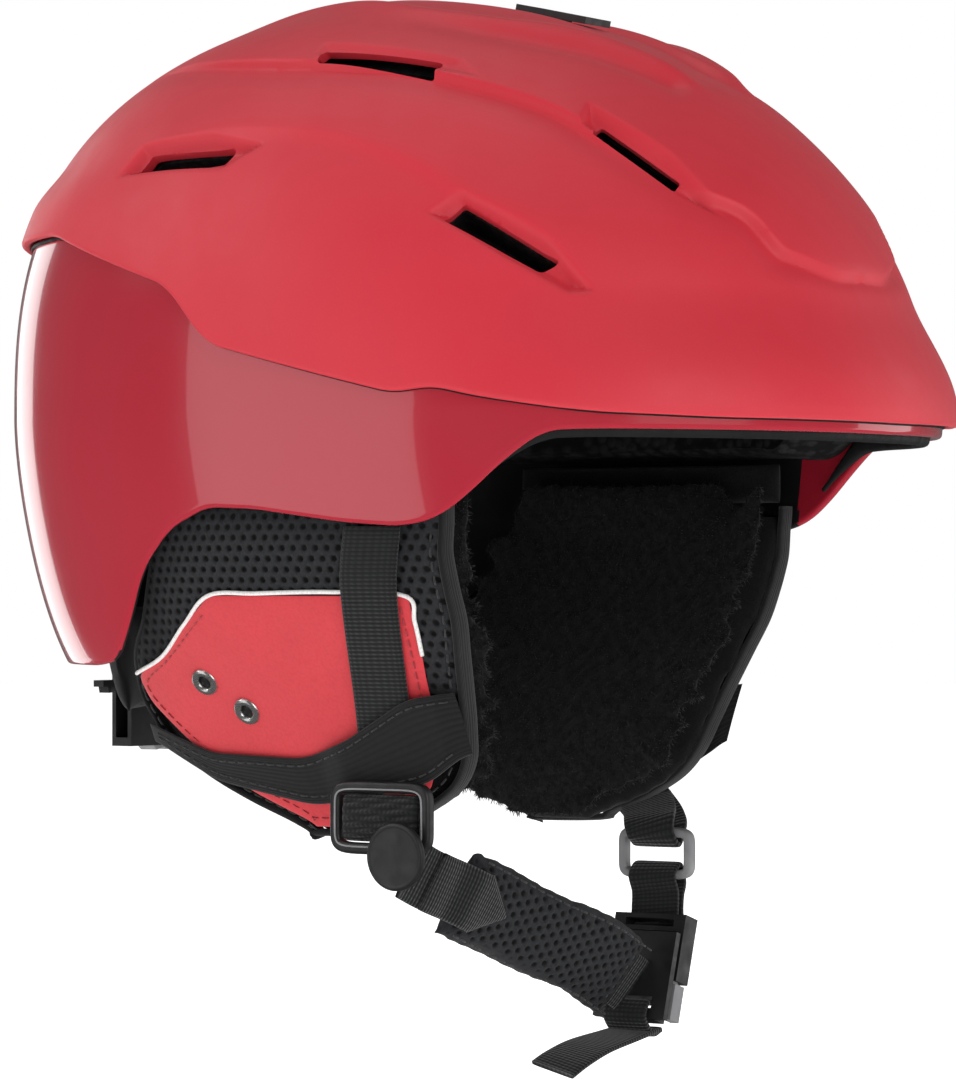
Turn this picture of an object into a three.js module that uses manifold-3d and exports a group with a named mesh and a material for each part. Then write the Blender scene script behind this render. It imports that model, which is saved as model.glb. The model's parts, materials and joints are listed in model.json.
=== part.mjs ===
// A ski helmet: two hard shells over a foam liner, soft ear pads, a webbing chin strap with a
// side-release buckle, a dial fit system at the nape, a vent slider and a goggle strap keeper.
// Millimetres. +Z is up, the helmet faces -Y, and the wearer's right is -X.
// The origin is on the middle plane, at the height of the brow, midway along the shell.
import * as THREE from "three";
import { mergeVertices } from "three/addons/utils/BufferGeometryUtils.js";
import Module from "manifold-3d";

// ---- driving dimensions ----
const SHELL_HEIGHT = 118; // origin to crown
const HALF_WIDTH = 108;
const FRONT_LENGTH = 132;
const BACK_LENGTH = 138;
const CROWN_SHIFT = 10; // the crown stands this far behind the middle
const SKIRT_DEPTH = 70; // how far the nape hangs below the brow
const SHELL_WALL = 2.6;
const UPPER_PROUD = 1.5; // the upper shell stands out from the base surface
const LOWER_INSET = 1.5; // the lower shell lies inside it
const BRIM_FLARE = 7;
const BRIM_RISE = 32; // the brim starts to turn out this far above the brow
const LOWER_FLARE = 0.84; // the lower shell's share of the brim's flare
const REAR_LIP = 2.2; // how far the upper shell's rear edge stands out
const LAP = 8; // the lower shell runs this far up under the upper one
const LINER_OUTSIDE = 5.2;
const LINER_INSIDE = 27;
const PAD_THICK = 6;
const GAP = 0.3;
const LAYER_GAP = 0.65; // between faceted layers that follow one curved surface
const SHELL_COLUMNS = 60;
const EAR_WIDTH = 98.5; // half width over the ear pads at their top
const EAR_HINGE_Z = -24;
const EAR_PAD_THICK = 13;
const FLEECE_THICK = 7;
const PANEL_THICK = 1;
const WEB_WIDTH = 17;
const WEB_THICK = 1.4;
const BAND_THICK = 1.2;
const DIVIDER_PLACE = [-70.5, -16, -110.5];
const LEFT_DIVIDER_PLACE = [50, -29, -125];
const BUCKLE_PLACE = [41, -31, -156.5];
const BUCKLE_TILT = 17; // degrees from upright, leaning outwards at its top
const BUCKLE_WIDTH = 24;
const SLIDER_PLACE = [0, -28, 109.2];
const SLIDER_SLOPE = 12.7; // degrees, the crown's slope under the slider
const SLIDER_TRAVEL = 10;
// The dip along the crown that the slider lies in, from its front half width to its rear one.
const CHANNEL = { depth: 3, front: -84, length: 120, frontHalf: 13, rearHalf: 36, slope: 7 };
// Superellipse powers: 2 is an ellipse, and more is boxier.
const PLAN_POWER = { front: 2.1, back: 2.3 };
const OUTWARD_POWER = { front: 2.2, side: 2.5, back: 2 };
const UPWARD_POWER = { front: 1.85, side: 2.4, back: 2.75 };
const TUCK = { front: 0.05, side: 0.12, back: 0.1, nape: 0.02 }; // the skirt draws in by this share
const FIT_BACK = 111.2; // the outer face of the fit bands
const FIT_BAND_THICK = 3.6;
const DIAL_Z = -83;
const DIAL_RADIUS = 13;
const DIAL_LOBES = 14;
const PITCH_RADIUS = 5;
const PINION_TEETH = 10;
const GOGGLE_PLACE = [0, 138.4, 20];
const GOGGLE_TILT = 3.5; // degrees, the shell's lean at the back
const STUD_Z = -17; // below the keeper's middle

// ---- edges of the shells: pairs of angle from the front and height ----
const UPPER_EDGE = [
  [0, -3], [28, -2.5], [42, -1.2], [48, 0.4], [56, 3], [63, 6.2], [67, 4],
  [98, 18.5], [106, 34.4], [134, 51], [150, 50], [180, 46],
];
const LOWER_EDGE = [
  [0, -5.4], [42, -5], [48, -5.4], [53, -13], [58, -22.6], [62, -28.4], [67, -30.5], [76, -29.4],
  [92, -25.6], [101, -25], [109, -30.8], [116, -41.6], [122, -56.8], [128, -67.5], [134, -69],
  [180, -69],
];
const LINER_EDGE = [
  [0, -3], [46, -3], [53, -10], [57, -9], [128, -9], [136, -42], [180, -42],
];

// ---- outlines of the ear pad's layers: height, front edge, rear edge ----
const EAR_ROWS = [
  [-24, -52, 46], [-40, -51, 50], [-57, -50, 62], [-68, -47, 74], [-80, -44, 75],
  [-96, -40, 65], [-107, -31, 43], [-118, -4, 14],
];
const PANEL_ROWS = [
  [-50, -38, 27], [-58, -37, 40], [-67, -36, 54], [-72, -35, 69], [-80, -34, 67],
  [-92, -32, 54], [-104, -26, 36], [-114, 0, 12],
];
const STRAP_LINE = [[-26, -33], [-51, -27], [-90, -17], [-104, -12]];
const BAND_TOP = [[-43, -76], [-29, -78], [-5, -90], [12, -95], [46, -94], [70, -86]];
const BAND_BOTTOM = [[-43, -92], [-29, -101], [-5, -106], [12, -108], [46, -102], [70, -91]];

// ---- vents on the right side: corners on the shell, in order round each opening ----
const VENTS = {
  rear_side: [[-91, 55, 66], [-89, 50, 72], [-93, 17, 72], [-96, 22, 66]],
  front_side: [[-92, -51, 49], [-88, -55, 54], [-80, -80, 38], [-84, -76, 35]],
  upper_rear: [[-74, 0, 96], [-72, 0, 98], [-67, -34, 93], [-69, -34, 90]],
  upper_front: [[-57, -75, 73], [-55, -77, 76], [-47, -97, 60], [-49, -96, 57]],
};
const VENT_DEPTH = 14;

const wasm = await Module();
wasm.setup();
const { clamp, degToRad, lerp, smoothstep } = THREE.MathUtils;

// ---- solids ----

// Height along a polyline of [key, value] pairs.
function along(pairs, key) {
  if (key <= pairs[0][0]) return pairs[0][1];
  for (let i = 1; i < pairs.length; i++) {
    if (key <= pairs[i][0]) {
      const share = (key - pairs[i - 1][0]) / (pairs[i][0] - pairs[i - 1][0]);
      return lerp(pairs[i - 1][1], pairs[i][1], share);
    }
  }
  return pairs[pairs.length - 1][1];
}

// A geometry of points and triangles, turned so that its faces point out.
function closed(points, triangles) {
  let volume = 0;
  for (const [a, b, c] of triangles) {
    volume += points[a].dot(points[b].clone().cross(points[c]));
  }
  const index = volume < 0 ? triangles.map(([a, b, c]) => [a, c, b]) : triangles;
  return new THREE.BufferGeometry().setFromPoints(points).setIndex(index.flat());
}

function addQuad(triangles, a, b, c, d) {
  for (const corners of [[a, b, c], [a, c, d]]) {
    if (new Set(corners).size === 3) triangles.push(corners);
  }
}

// The solid between two sheets, each point(row, column) with both from 0 to 1. A wrapped sheet
// closes on itself along its columns, and a sheet with a pole starts from a single point.
function between(outer, inner, rows, columns, { wrap = false, pole = false } = {}) {
  const points = [];
  const triangles = [];
  const stride = columns + 1;
  const id = (sheet, i, j) => {
    const column = pole && i === 0 ? 0 : wrap ? j % columns : j;
    return sheet * (rows + 1) * stride + i * stride + column;
  };
  for (const sheet of [outer, inner]) {
    for (let i = 0; i <= rows; i++) {
      for (let j = 0; j <= columns; j++) points.push(sheet(i / rows, j / columns));
    }
  }
  for (let i = 0; i < rows; i++) {
    for (let j = 0; j < columns; j++) {
      addQuad(triangles, id(0, i, j), id(0, i + 1, j), id(0, i + 1, j + 1), id(0, i, j + 1));
      addQuad(triangles, id(1, i, j), id(1, i, j + 1), id(1, i + 1, j + 1), id(1, i + 1, j));
    }
  }
  for (let j = 0; j < columns; j++) {
    addQuad(triangles, id(0, rows, j), id(1, rows, j), id(1, rows, j + 1), id(0, rows, j + 1));
    if (!pole) addQuad(triangles, id(0, 0, j), id(0, 0, j + 1), id(1, 0, j + 1), id(1, 0, j));
  }
  for (let i = 0; i < rows && !wrap; i++) {
    addQuad(triangles, id(0, i, 0), id(1, i, 0), id(1, i + 1, 0), id(0, i + 1, 0));
    addQuad(
      triangles, id(0, i, columns), id(0, i + 1, columns), id(1, i + 1, columns), id(1, i, columns),
    );
  }
  return closed(points, triangles);
}

// The solid through a list of rings of points, capped at both ends.
function loft(rings) {
  const points = rings.flat();
  const sides = rings[0].length;
  const triangles = [];
  for (let i = 0; i + 1 < rings.length; i++) {
    for (let j = 0; j < sides; j++) {
      const next = (j + 1) % sides;
      addQuad(
        triangles, i * sides + j, (i + 1) * sides + j, (i + 1) * sides + next, i * sides + next,
      );
    }
  }
  const last = (rings.length - 1) * sides;
  for (let j = 1; j + 1 < sides; j++) {
    triangles.push([0, j, j + 1]);
    triangles.push([last, last + j + 1, last + j]);
  }
  return closed(points, triangles);
}

// A flat strap along a stretch of a curve, lifted off it along its normal. Its width lies near the
// given direction at each end of the curve.
function ribbon(places, widthStart, widthEnd, { width, thick, steps, lift = 0, from = 0, to = 1 }) {
  const curve = new THREE.CatmullRomCurve3(places.map((p) => new THREE.Vector3(...p)));
  const start = new THREE.Vector3(...widthStart).normalize();
  const end = new THREE.Vector3(...widthEnd).normalize();
  const rings = [];
  for (let i = 0; i <= steps; i++) {
    const share = lerp(from, to, i / steps);
    const tangent = curve.getTangentAt(share);
    const across = start.clone().lerp(end, share);
    across.addScaledVector(tangent, -across.dot(tangent)).normalize();
    const normal = across.clone().cross(tangent);
    const centre = curve.getPointAt(share).addScaledVector(normal, lift);
    rings.push(
      [[-1, -1], [1, -1], [1, 1], [-1, 1]].map(([side, face]) =>
        centre
          .clone()
          .addScaledVector(across, (side * width) / 2)
          .addScaledVector(normal, (face * thick) / 2),
      ),
    );
  }
  return loft(rings);
}

function solidOf(geometry) {
  const plain = geometry.clone();
  plain.deleteAttribute("normal");
  plain.deleteAttribute("uv");
  const merged = mergeVertices(plain, 1e-4);
  const triVerts = new Uint32Array(merged.index.array);
  const vertProperties = merged.attributes.position.array;
  return new wasm.Manifold(new wasm.Mesh({ numProp: 3, vertProperties, triVerts }));
}

function geometryOf(solid) {
  const { vertProperties, triVerts } = solid.getMesh();
  return new THREE.BufferGeometry()
    .setAttribute("position", new THREE.BufferAttribute(vertProperties, 3))
    .setIndex(new THREE.BufferAttribute(triVerts, 1));
}

const join = (...shapes) => geometryOf(shapes.map(solidOf).reduce((a, b) => a.add(b)));

const cut = (shape, ...tools) =>
  geometryOf(tools.map(solidOf).reduce((a, b) => a.subtract(b), solidOf(shape)));

// A block between two corners.
function block([x0, y0, z0], [x1, y1, z1]) {
  const shape = new THREE.BoxGeometry(x1 - x0, y1 - y0, z1 - z0);
  return shape.translate((x0 + x1) / 2, (y0 + y1) / 2, (z0 + z1) / 2);
}

// A cylinder from one place to another along X, Y or Z.
function rod(from, to, radius, sides = 24) {
  const a = new THREE.Vector3(...from);
  const b = new THREE.Vector3(...to);
  const shape = new THREE.CylinderGeometry(radius, radius, a.distanceTo(b), sides);
  const turn = new THREE.Quaternion().setFromUnitVectors(
    new THREE.Vector3(0, 1, 0),
    b.clone().sub(a).normalize(),
  );
  const middle = a.add(b).multiplyScalar(0.5);
  return shape.applyQuaternion(turn).translate(middle.x, middle.y, middle.z);
}

// ---- the scene graph ----
const helmet = new THREE.Group();

function add(name, geometry, color, roughness, metalness = 0, parent = helmet) {
  const material = new THREE.MeshStandardMaterial({ color, roughness, metalness });
  const mesh = new THREE.Mesh(geometry, material);
  mesh.name = name;
  parent.add(mesh);
  return mesh;
}

const COLORS = {
  matteRed: 0xc63f4b,
  glossRed: 0xb33342,
  panelRed: 0xdd4850,
  foam: 0x18181a,
  fabric: 0x17181a,
  webbing: 0x0f1314,
  black: 0x1b1b1d,
  grey: 0x7f7f81,
  steel: 0xb9bcc0,
};

// ---- the shells' surface ----
// An angle of 0 is the front and grows towards the wearer's right; sin is -X and -cos is +Y.

function superellipse(c, s, a, b, power) {
  return (Math.abs(c / a) ** power + Math.abs(s / b) ** power) ** (-1 / power);
}

function planRadius(angle) {
  const c = Math.cos(angle);
  const s = Math.sin(angle);
  return c > 0
    ? superellipse(c, s, FRONT_LENGTH, HALF_WIDTH, PLAN_POWER.front)
    : superellipse(c, s, BACK_LENGTH, HALF_WIDTH, PLAN_POWER.back);
}

// Shares of front, side and back in the direction of an angle.
function shares(angle) {
  const c = Math.cos(angle);
  const back = smoothstep(-c, 0, 1);
  const front = smoothstep(c, 0, 1);
  return { front, back, side: 1 - front - back };
}

// The base surface at an angle and height, set out from itself by some millimetres.
function surface(angle, height, out) {
  const { front, back, side } = shares(angle);
  const mix = (power) => power.front * front + power.side * side + power.back * back;
  let radius;
  let shift = 0;
  if (height > 0) {
    const cosine = clamp(height / (SHELL_HEIGHT + out), 0, 1) ** (mix(UPWARD_POWER) / 2);
    const sine = Math.sqrt(1 - cosine * cosine);
    radius = (planRadius(angle) + out) * sine ** (2 / mix(OUTWARD_POWER));
    shift = CROWN_SHIFT * cosine * cosine;
  } else {
    const depth = -height / SKIRT_DEPTH;
    const tuck =
      (TUCK.back * depth ** 1.6 + TUCK.nape * depth ** 6) * back +
      TUCK.side * depth ** 1.5 * side +
      TUCK.front * depth * front;
    radius = planRadius(angle) * (1 - tuck) + out;
  }
  return new THREE.Vector3(-Math.sin(angle) * radius, -Math.cos(angle) * radius + shift, height);
}

// Height of a row: 0 is the crown and 1 the edge, with rows close together where the dome is steep.
function rowHeight(row, edge, out) {
  const top = SHELL_HEIGHT + out;
  const bend = Math.acos(clamp(edge / top, 0, 1));
  const reach = bend + Math.max(-edge, 0) / HALF_WIDTH;
  const turned = row * reach;
  return turned <= Math.PI / 2 ? top * Math.cos(turned) : -(turned - Math.PI / 2) * HALF_WIDTH;
}

const turnOf = (column) => column * 2 * Math.PI;
const edgeAngle = (angle) => 180 - Math.abs(180 - (angle * 180) / Math.PI);

// A cap from the crown down to an edge.
function capSheet(edge, out) {
  return (row, column) => {
    const angle = turnOf(column);
    const height = rowHeight(row, along(edge, edgeAngle(angle)), 0);
    const extra = typeof out === "function" ? out(angle, height) : out;
    const top = height * (1 + extra / SHELL_HEIGHT);
    return surface(angle, height > 0 ? top : height, extra);
  };
}

// Both shells turn outwards at the brim over the brow.
const brimOut = (angle, height) =>
  BRIM_FLARE * smoothstep(Math.cos(angle), 0.2, 1) * smoothstep(-height, -BRIM_RISE, 0);

const rearShare = (angle) => smoothstep(-Math.cos(angle), 0.5, 0.85);

// The upper shell's rear edge stands out over the lower shell.
function upperOut(angle, height) {
  const lip = REAR_LIP * rearShare(angle) * smoothstep(-height, -72, -58);
  return UPPER_PROUD + brimOut(angle, height) + lip;
}

const lowerOut = (angle, height) =>
  LOWER_FLARE * brimOut(angle, height) - LOWER_INSET * (1 - rearShare(angle));

// A dip along the crown, narrow in front and wide behind.
function withChannel(sheet) {
  return (row, column) => {
    const point = sheet(row, column);
    const share = clamp((point.y - CHANNEL.front) / CHANNEL.length, 0, 1);
    const half = lerp(CHANNEL.frontHalf, CHANNEL.rearHalf, share);
    const across = 1 - smoothstep(Math.abs(point.x), half - CHANNEL.slope, half);
    const lengthways = smoothstep(point.y, -88, -66) * (1 - smoothstep(point.y, 45, 75));
    if (point.z > SHELL_HEIGHT / 2) point.z -= CHANNEL.depth * across * lengthways;
    return point;
  };
}

// A prism through the shell wall at a vent, deep enough to reach into the liner.
function ventTool(corners, side) {
  const places = corners.map(([x, y, z]) => new THREE.Vector3(-side * x, y, z));
  const diagonal = places[2].clone().sub(places[0]);
  const normal = diagonal.cross(places[3].clone().sub(places[1])).normalize();
  if (normal.dot(places[0]) < 0) normal.negate();
  const ring = (distance) => places.map((p) => p.clone().addScaledVector(normal, distance));
  return loft([ring(-VENT_DEPTH), ring(7)]);
}

function makeShells() {
  const ventTools = [-1, 1].flatMap((side) => Object.values(VENTS).map((v) => ventTool(v, side)));
  const upper = between(
    withChannel(capSheet(UPPER_EDGE, upperOut)),
    withChannel(capSheet(UPPER_EDGE, (angle, height) => upperOut(angle, height) - SHELL_WALL)),
    11, SHELL_COLUMNS, { wrap: true, pole: true },
  );
  const sloped = (shape) => shape.rotateX(degToRad(SLIDER_SLOPE)).translate(...SLIDER_PLACE);
  const slot = sloped(block([-2.6, -3, -8], [2.6, SLIDER_TRAVEL + 3, 14]));
  add("upper_shell", cut(upper, slot, ...ventTools), COLORS.matteRed, 0.62);

  const bandPoint = (depth) => (row, column) => {
    const angle = turnOf(column);
    const top = along(UPPER_EDGE, edgeAngle(angle)) + LAP;
    const height = lerp(top, along(LOWER_EDGE, edgeAngle(angle)), row);
    return surface(angle, height, lowerOut(angle, height) - depth);
  };
  const lower = between(bandPoint(0), bandPoint(SHELL_WALL), 6, SHELL_COLUMNS, { wrap: true });
  add("lower_shell", lower, COLORS.glossRed, 0.12);

  const liner = between(
    capSheet(LINER_EDGE, -LINER_OUTSIDE),
    capSheet(LINER_EDGE, -LINER_INSIDE),
    9, 48, { wrap: true, pole: true },
  );
  const pocket = sloped(block([-23, -27, -10.4], [23, 39, 20])); // the shutter slides in it
  const ducts = [-15, 8].map((y) => sloped(block([-8, y, -30], [8, y + 9, 0])));
  add("foam_liner", cut(liner, pocket, ...ducts, ...ventTools), COLORS.foam, 0.95);
}

// A soft pad on the liner's inside, over a range of angles and heights.
function linerPad(name, [fromAngle, toAngle], [low, high], columns) {
  const sheet = (out) => (row, column) => {
    const angle = degToRad(lerp(fromAngle, toAngle, column));
    return surface(angle, lerp(low, high, row), -out);
  };
  const inside = LINER_INSIDE + 1.2;
  add(name, between(sheet(inside), sheet(inside + PAD_THICK), 3, columns), COLORS.fabric, 0.95);
}

function makeComfortPads() {
  linerPad("brow_pad", [-52, 52], [2, 24], 14);
  linerPad("side_pad_right", [72, 112], [4, 44], 6);
  linerPad("side_pad_left", [248, 288], [4, 44], 6);
  linerPad("rear_pad", [148, 212], [-34, 30], 10);
  const strip = (x0, x1) => {
    const sheet = (depth) => (row, column) => {
      const y = lerp(-58, 62, row);
      const drop = (y - CROWN_SHIFT) ** 2 / 190;
      const z = SHELL_HEIGHT - LINER_INSIDE - 8 - drop - depth;
      return new THREE.Vector3(lerp(x0, x1, column), y, z);
    };
    return between(sheet(0), sheet(PAD_THICK), 8, 2);
  };
  add("crown_pad_right", strip(-24, -4), COLORS.fabric, 0.95);
  add("crown_pad_left", strip(4, 24), COLORS.fabric, 0.95);
}

// The rubber trim under the brim, between the lower shell's edge and the liner.
function makeBrimTrim() {
  const sheet = (inset) => (row, column) => {
    const angle = degToRad(lerp(-50, 50, column));
    const edge = along(LOWER_EDGE, edgeAngle(angle < 0 ? angle + 2 * Math.PI : angle));
    return surface(angle, lerp(edge + 2.2, edge - 2.6, row), lowerOut(angle, edge) - inset);
  };
  const trim = between(sheet(SHELL_WALL + GAP), sheet(SHELL_WALL + 4.5), 2, 30);
  add("brim_trim", trim, COLORS.black, 0.7);
}

// The padded roll round the nape, hanging below the lower shell.
function makeNapePad() {
  const sheet = (depth) => (row, column) => {
    const angle = degToRad(lerp(152, 208, column));
    const height = lerp(-48, -88, row);
    const round = 3 * Math.cos(row * Math.PI * 2);
    const base = surface(angle, -60, -19 - 6 * row - depth + (depth ? round : -round) / 2);
    return new THREE.Vector3(base.x, base.y, height);
  };
  add("nape_pad", between(sheet(0), sheet(10), 6, 16), COLORS.fabric, 0.9);
}

// ---- ear pads ----
// side is -1 on the wearer's right and 1 on the left.

function earX(y, z) {
  const curve = (1 - (Math.abs(y - 2) / 125) ** 2.4) ** (1 / 2.4);
  const below = Math.max(-25 - z, 0);
  return EAR_WIDTH * curve - 46 * (1 - Math.exp(-((below / 62) ** 1.9)));
}

const earPoint = (side, y, z, out) => new THREE.Vector3(side * (earX(y, z) + out), y, z);

// A layer of the ear pad. place(row, column) gives [y, z], and each face stands out by its own
// amount.
function earLayer(side, place, outer, inner, rows, columns) {
  const sheet = (out) => (row, column) => {
    const [y, z] = place(row, column);
    return earPoint(side, y, z, typeof out === "function" ? out(y, z) : out);
  };
  return between(sheet(outer), sheet(inner), rows, columns);
}

// Rows of an outline, shrunk towards its middle by a margin.
function outlinePlace(outline, margin) {
  const front = outline.map(([z, y]) => [-z, y]);
  const rear = outline.map(([z, , y]) => [-z, y]);
  const top = outline[0][0];
  const bottom = outline[outline.length - 1][0] + margin;
  return (row, column) => {
    const z = lerp(top, bottom, row);
    return [lerp(along(front, -z) + margin, along(rear, -z) - margin, column), z];
  };
}

const bandPlace = (row, column) => {
  const y = lerp(70, -43, column);
  return [y, lerp(along(BAND_TOP, y), along(BAND_BOTTOM, y), row)];
};

const strapPlace = (top, bottom) => (row, column) => {
  const z = lerp(top, bottom, row);
  return [along(STRAP_LINE.map(([h, y]) => [-h, y]), -z) + lerp(-0.5, 0.5, column) * WEB_WIDTH, z];
};

// The outer layers stack up: pad, panel, webbing, and the wide band over them all.
const OVER_PANEL = PANEL_THICK + 2 * LAYER_GAP;
const strapOut = (y, z) => lerp(LAYER_GAP, OVER_PANEL, smoothstep(-z, 34, 48));
function bandOut(y) {
  const over = smoothstep(y, -46, -36) * (1 - smoothstep(y, -4, 8));
  return OVER_PANEL + over * (WEB_THICK + LAYER_GAP);
}

function makeEyelet(name, side, y, z) {
  const ring = new THREE.LatheGeometry(
    [[2.2, 0], [4, 0], [4, 0.5], [3.3, 1.3], [2.6, 1.3], [2.2, 0.8], [2.2, 0]].map(
      (p) => new THREE.Vector2(...p),
    ),
    16,
  );
  const slope = (earX(y, z + 1) - earX(y, z - 1)) / 2;
  const out = new THREE.Vector3(side, 0, -slope).normalize();
  ring.applyQuaternion(new THREE.Quaternion().setFromUnitVectors(new THREE.Vector3(0, 1, 0), out));
  const place = earPoint(side, y, z, OVER_PANEL + 0.3);
  add(name, ring.translate(place.x, place.y, place.z), COLORS.steel, 0.3, 0.9);
}

function makeEarPad(side, word) {
  const pad = earLayer(side, outlinePlace(EAR_ROWS, 0), 0, -EAR_PAD_THICK, 9, 9);
  add(`ear_pad_${word}`, pad, COLORS.fabric, 0.95);

  const fleecePlace = outlinePlace(EAR_ROWS, 3);
  const fleeceOut = -EAR_PAD_THICK - 1;
  const fleece = earLayer(side, fleecePlace, fleeceOut, fleeceOut - FLEECE_THICK, 8, 8);
  add(`ear_fleece_${word}`, fleece, COLORS.fabric, 1);

  const tabPlace = (row, column) => [lerp(-50, 44, column), lerp(-11, EAR_HINGE_Z + 0.8, row)];
  const tab = earLayer(side, tabPlace, -1.5, -EAR_PAD_THICK, 2, 8);
  add(`ear_tab_${word}`, tab, COLORS.fabric, 0.95);

  const panelPlace = outlinePlace(PANEL_ROWS, 0);
  const panel = earLayer(side, panelPlace, LAYER_GAP + PANEL_THICK, LAYER_GAP, 8, 8);
  add(`ear_panel_${word}`, panel, COLORS.panelRed, 0.6);

  makeEyelet(`eyelet_${word}_rear`, side, 40, -74);
  makeEyelet(`eyelet_${word}_front`, side, 28, -82);

  const strapFace = (y, z) => strapOut(y, z) + WEB_THICK;
  const strap = earLayer(side, strapPlace(-31.5, -99), strapFace, strapOut, 12, 2);
  add(`side_strap_${word}`, strap, COLORS.webbing, 0.85);

  const band = earLayer(side, bandPlace, (y) => bandOut(y) + BAND_THICK, bandOut, 3, 20);
  add(`ear_band_${word}`, band, COLORS.webbing, 0.8);
}

// ---- strap dividers ----

// A rounded frame with a rounded opening, lying in the YZ plane and thick along X.
function frameLoop(width, height, bar, thick) {
  const outline = (w, h, r) => {
    const path = new THREE.Shape();
    path.absarc(w / 2 - r, h / 2 - r, r, 0, Math.PI / 2);
    path.absarc(-w / 2 + r, h / 2 - r, r, Math.PI / 2, Math.PI);
    path.absarc(-w / 2 + r, -h / 2 + r, r, Math.PI, 1.5 * Math.PI);
    path.absarc(w / 2 - r, -h / 2 + r, r, 1.5 * Math.PI, 2 * Math.PI);
    return path;
  };
  const shape = outline(width, height, 7);
  shape.holes.push(outline(width - 2 * bar, height - 2 * bar, 4));
  const options = { depth: thick, bevelEnabled: false, curveSegments: 4 };
  const loop = new THREE.ExtrudeGeometry(shape, options);
  return loop.translate(0, 0, -thick / 2).rotateY(Math.PI / 2).rotateX(Math.PI / 2);
}

function makeRightDivider() {
  const divider = new THREE.Group();
  divider.position.set(...DIVIDER_PLACE);
  helmet.add(divider);
  add("divider_loop_right", frameLoop(33, 20, 3.2, 3.6), COLORS.black, 0.5, 0, divider);
  const fold = block([-1.6, -11, -5.4], [2.4, 11, 5.4]);
  add("strap_fold_right", fold, COLORS.webbing, 0.85, 0, divider);
  const disc = rod([-4.6, -8.8, -10], [-7, -8.8, -10], 9.3, 32);
  add("divider_disc", disc, COLORS.black, 0.5, 0, divider);
}

function makeLeftDivider() {
  const loop = frameLoop(25, 15, 2.8, 3.4).translate(...LEFT_DIVIDER_PLACE);
  add("divider_loop_left", loop, COLORS.grey, 0.45);
  const strap = ribbon(
    [[65.5, -13, -108.5], [63, -18, -112.4], [58, -25, -117.3], [53.6, -29, -122]],
    [0, 1, 0], [0, 1, 0], { width: 15.5, thick: 2.2, steps: 8 },
  );
  add("strap_fold_left", strap, COLORS.webbing, 0.85);
}

// ---- the chin strap ----

function makeChinStrap() {
  const route = [
    [-65.4, -22, -124.6], [-57.5, -23, -127.9], [-45, -23.6, -131.8], [-30, -24.6, -137.2],
    [-10, -28, -145.2], [8, -31, -151.3], [22, -31.5, -157.5], [32.5, -31, -162],
  ];
  const widths = [[0.3, -0.3, 0.9], [-0.2, -0.4, 0.9]];
  const webbing = ribbon(route, ...widths, { width: WEB_WIDTH, thick: 2.2, steps: 22 });
  add("chin_webbing", webbing, COLORS.webbing, 0.85);
  const padShape = { width: 28, thick: 9, steps: 14, lift: 1.8, from: 0.2, to: 0.97 };
  const sleeve = ribbon(route, ...widths, padShape);
  const channel = ribbon(route, ...widths, { width: WEB_WIDTH + 1, thick: 3, steps: 22 });
  add("chin_pad", cut(sleeve, channel), COLORS.fabric, 0.95);
  const tail = ribbon(
    [[36.5, -31, -175], [26, -31, -176.2], [12, -30, -178.2], [2, -29, -181], [-4, -28, -183.6]],
    [0, 1, 0], [0, 1, 0.2], { width: 15, thick: 1.4, steps: 12 },
  );
  add("strap_tail", tail, COLORS.webbing, 0.85);
}

// The buckle's own frame: +X faces away from the wearer, +Y is its width and +Z is up the strap.
function makeBuckle() {
  const buckle = new THREE.Group();
  buckle.position.set(...BUCKLE_PLACE);
  buckle.rotation.y = degToRad(BUCKLE_TILT);
  helmet.add(buckle);
  const half = BUCKLE_WIDTH / 2;

  const tray = join(
    block([2.8, -half, -5], [4.8, half, 14.5]),
    block([-1.8, half - 1.8, -5], [4, half, 14.5]),
    block([-1.8, -half, -5], [4, -half + 1.8, 14.5]),
    block([-1.8, -half, 9.5], [4, half, 14.5]),
  );
  const webSlot = block([-5, -8.2, 10.9], [9, 8.2, 13.1]);
  add("buckle_socket", cut(tray, webSlot), COLORS.black, 0.5, 0, buckle);

  const tongue = join(
    block([-5.4, -half, -17], [-3.2, half, 8.5]),
    block([-4, -7.6, -17], [2.4, 7.6, -7]),
    block([-4, -3.6, -8], [1.2, 3.6, 5.5]),
  );
  const ladder = block([-9, -7.2, -14], [9, 7.2, -10.6]);
  add("buckle_tongue", cut(tongue, ladder), COLORS.black, 0.5, 0, buckle);

  for (const [word, side] of [["front", -1], ["rear", 1]]) {
    const spread = (low, high) => (side < 0 ? [-high, -low] : [low, high]);
    const [t0, t1] = spread(9.6, 12.4);
    const [a0, a1] = spread(7.4, 9.4);
    const [l0, l1] = spread(9, 11);
    const tab = join(
      block([-2.4, t0, -16.5], [2.6, t1, -6]),
      block([-1.6, l0, -6.5], [1.2, l1, -5]),
      block([-1.6, a0, -6.5], [1.2, a1, 6]),
    );
    add(`buckle_tab_${word}`, tab, COLORS.grey, 0.45, 0, buckle);
  }

  const link = ribbon(
    [[2.4, 1.5, 23.8], [2, 0.8, 20], [1.2, 0, 16.4]],
    [0, 1, 0], [0, 1, 0], { width: 15.5, thick: 2, steps: 5 },
  );
  add("buckle_webbing", link, COLORS.webbing, 0.85, 0, buckle);
}

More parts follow.
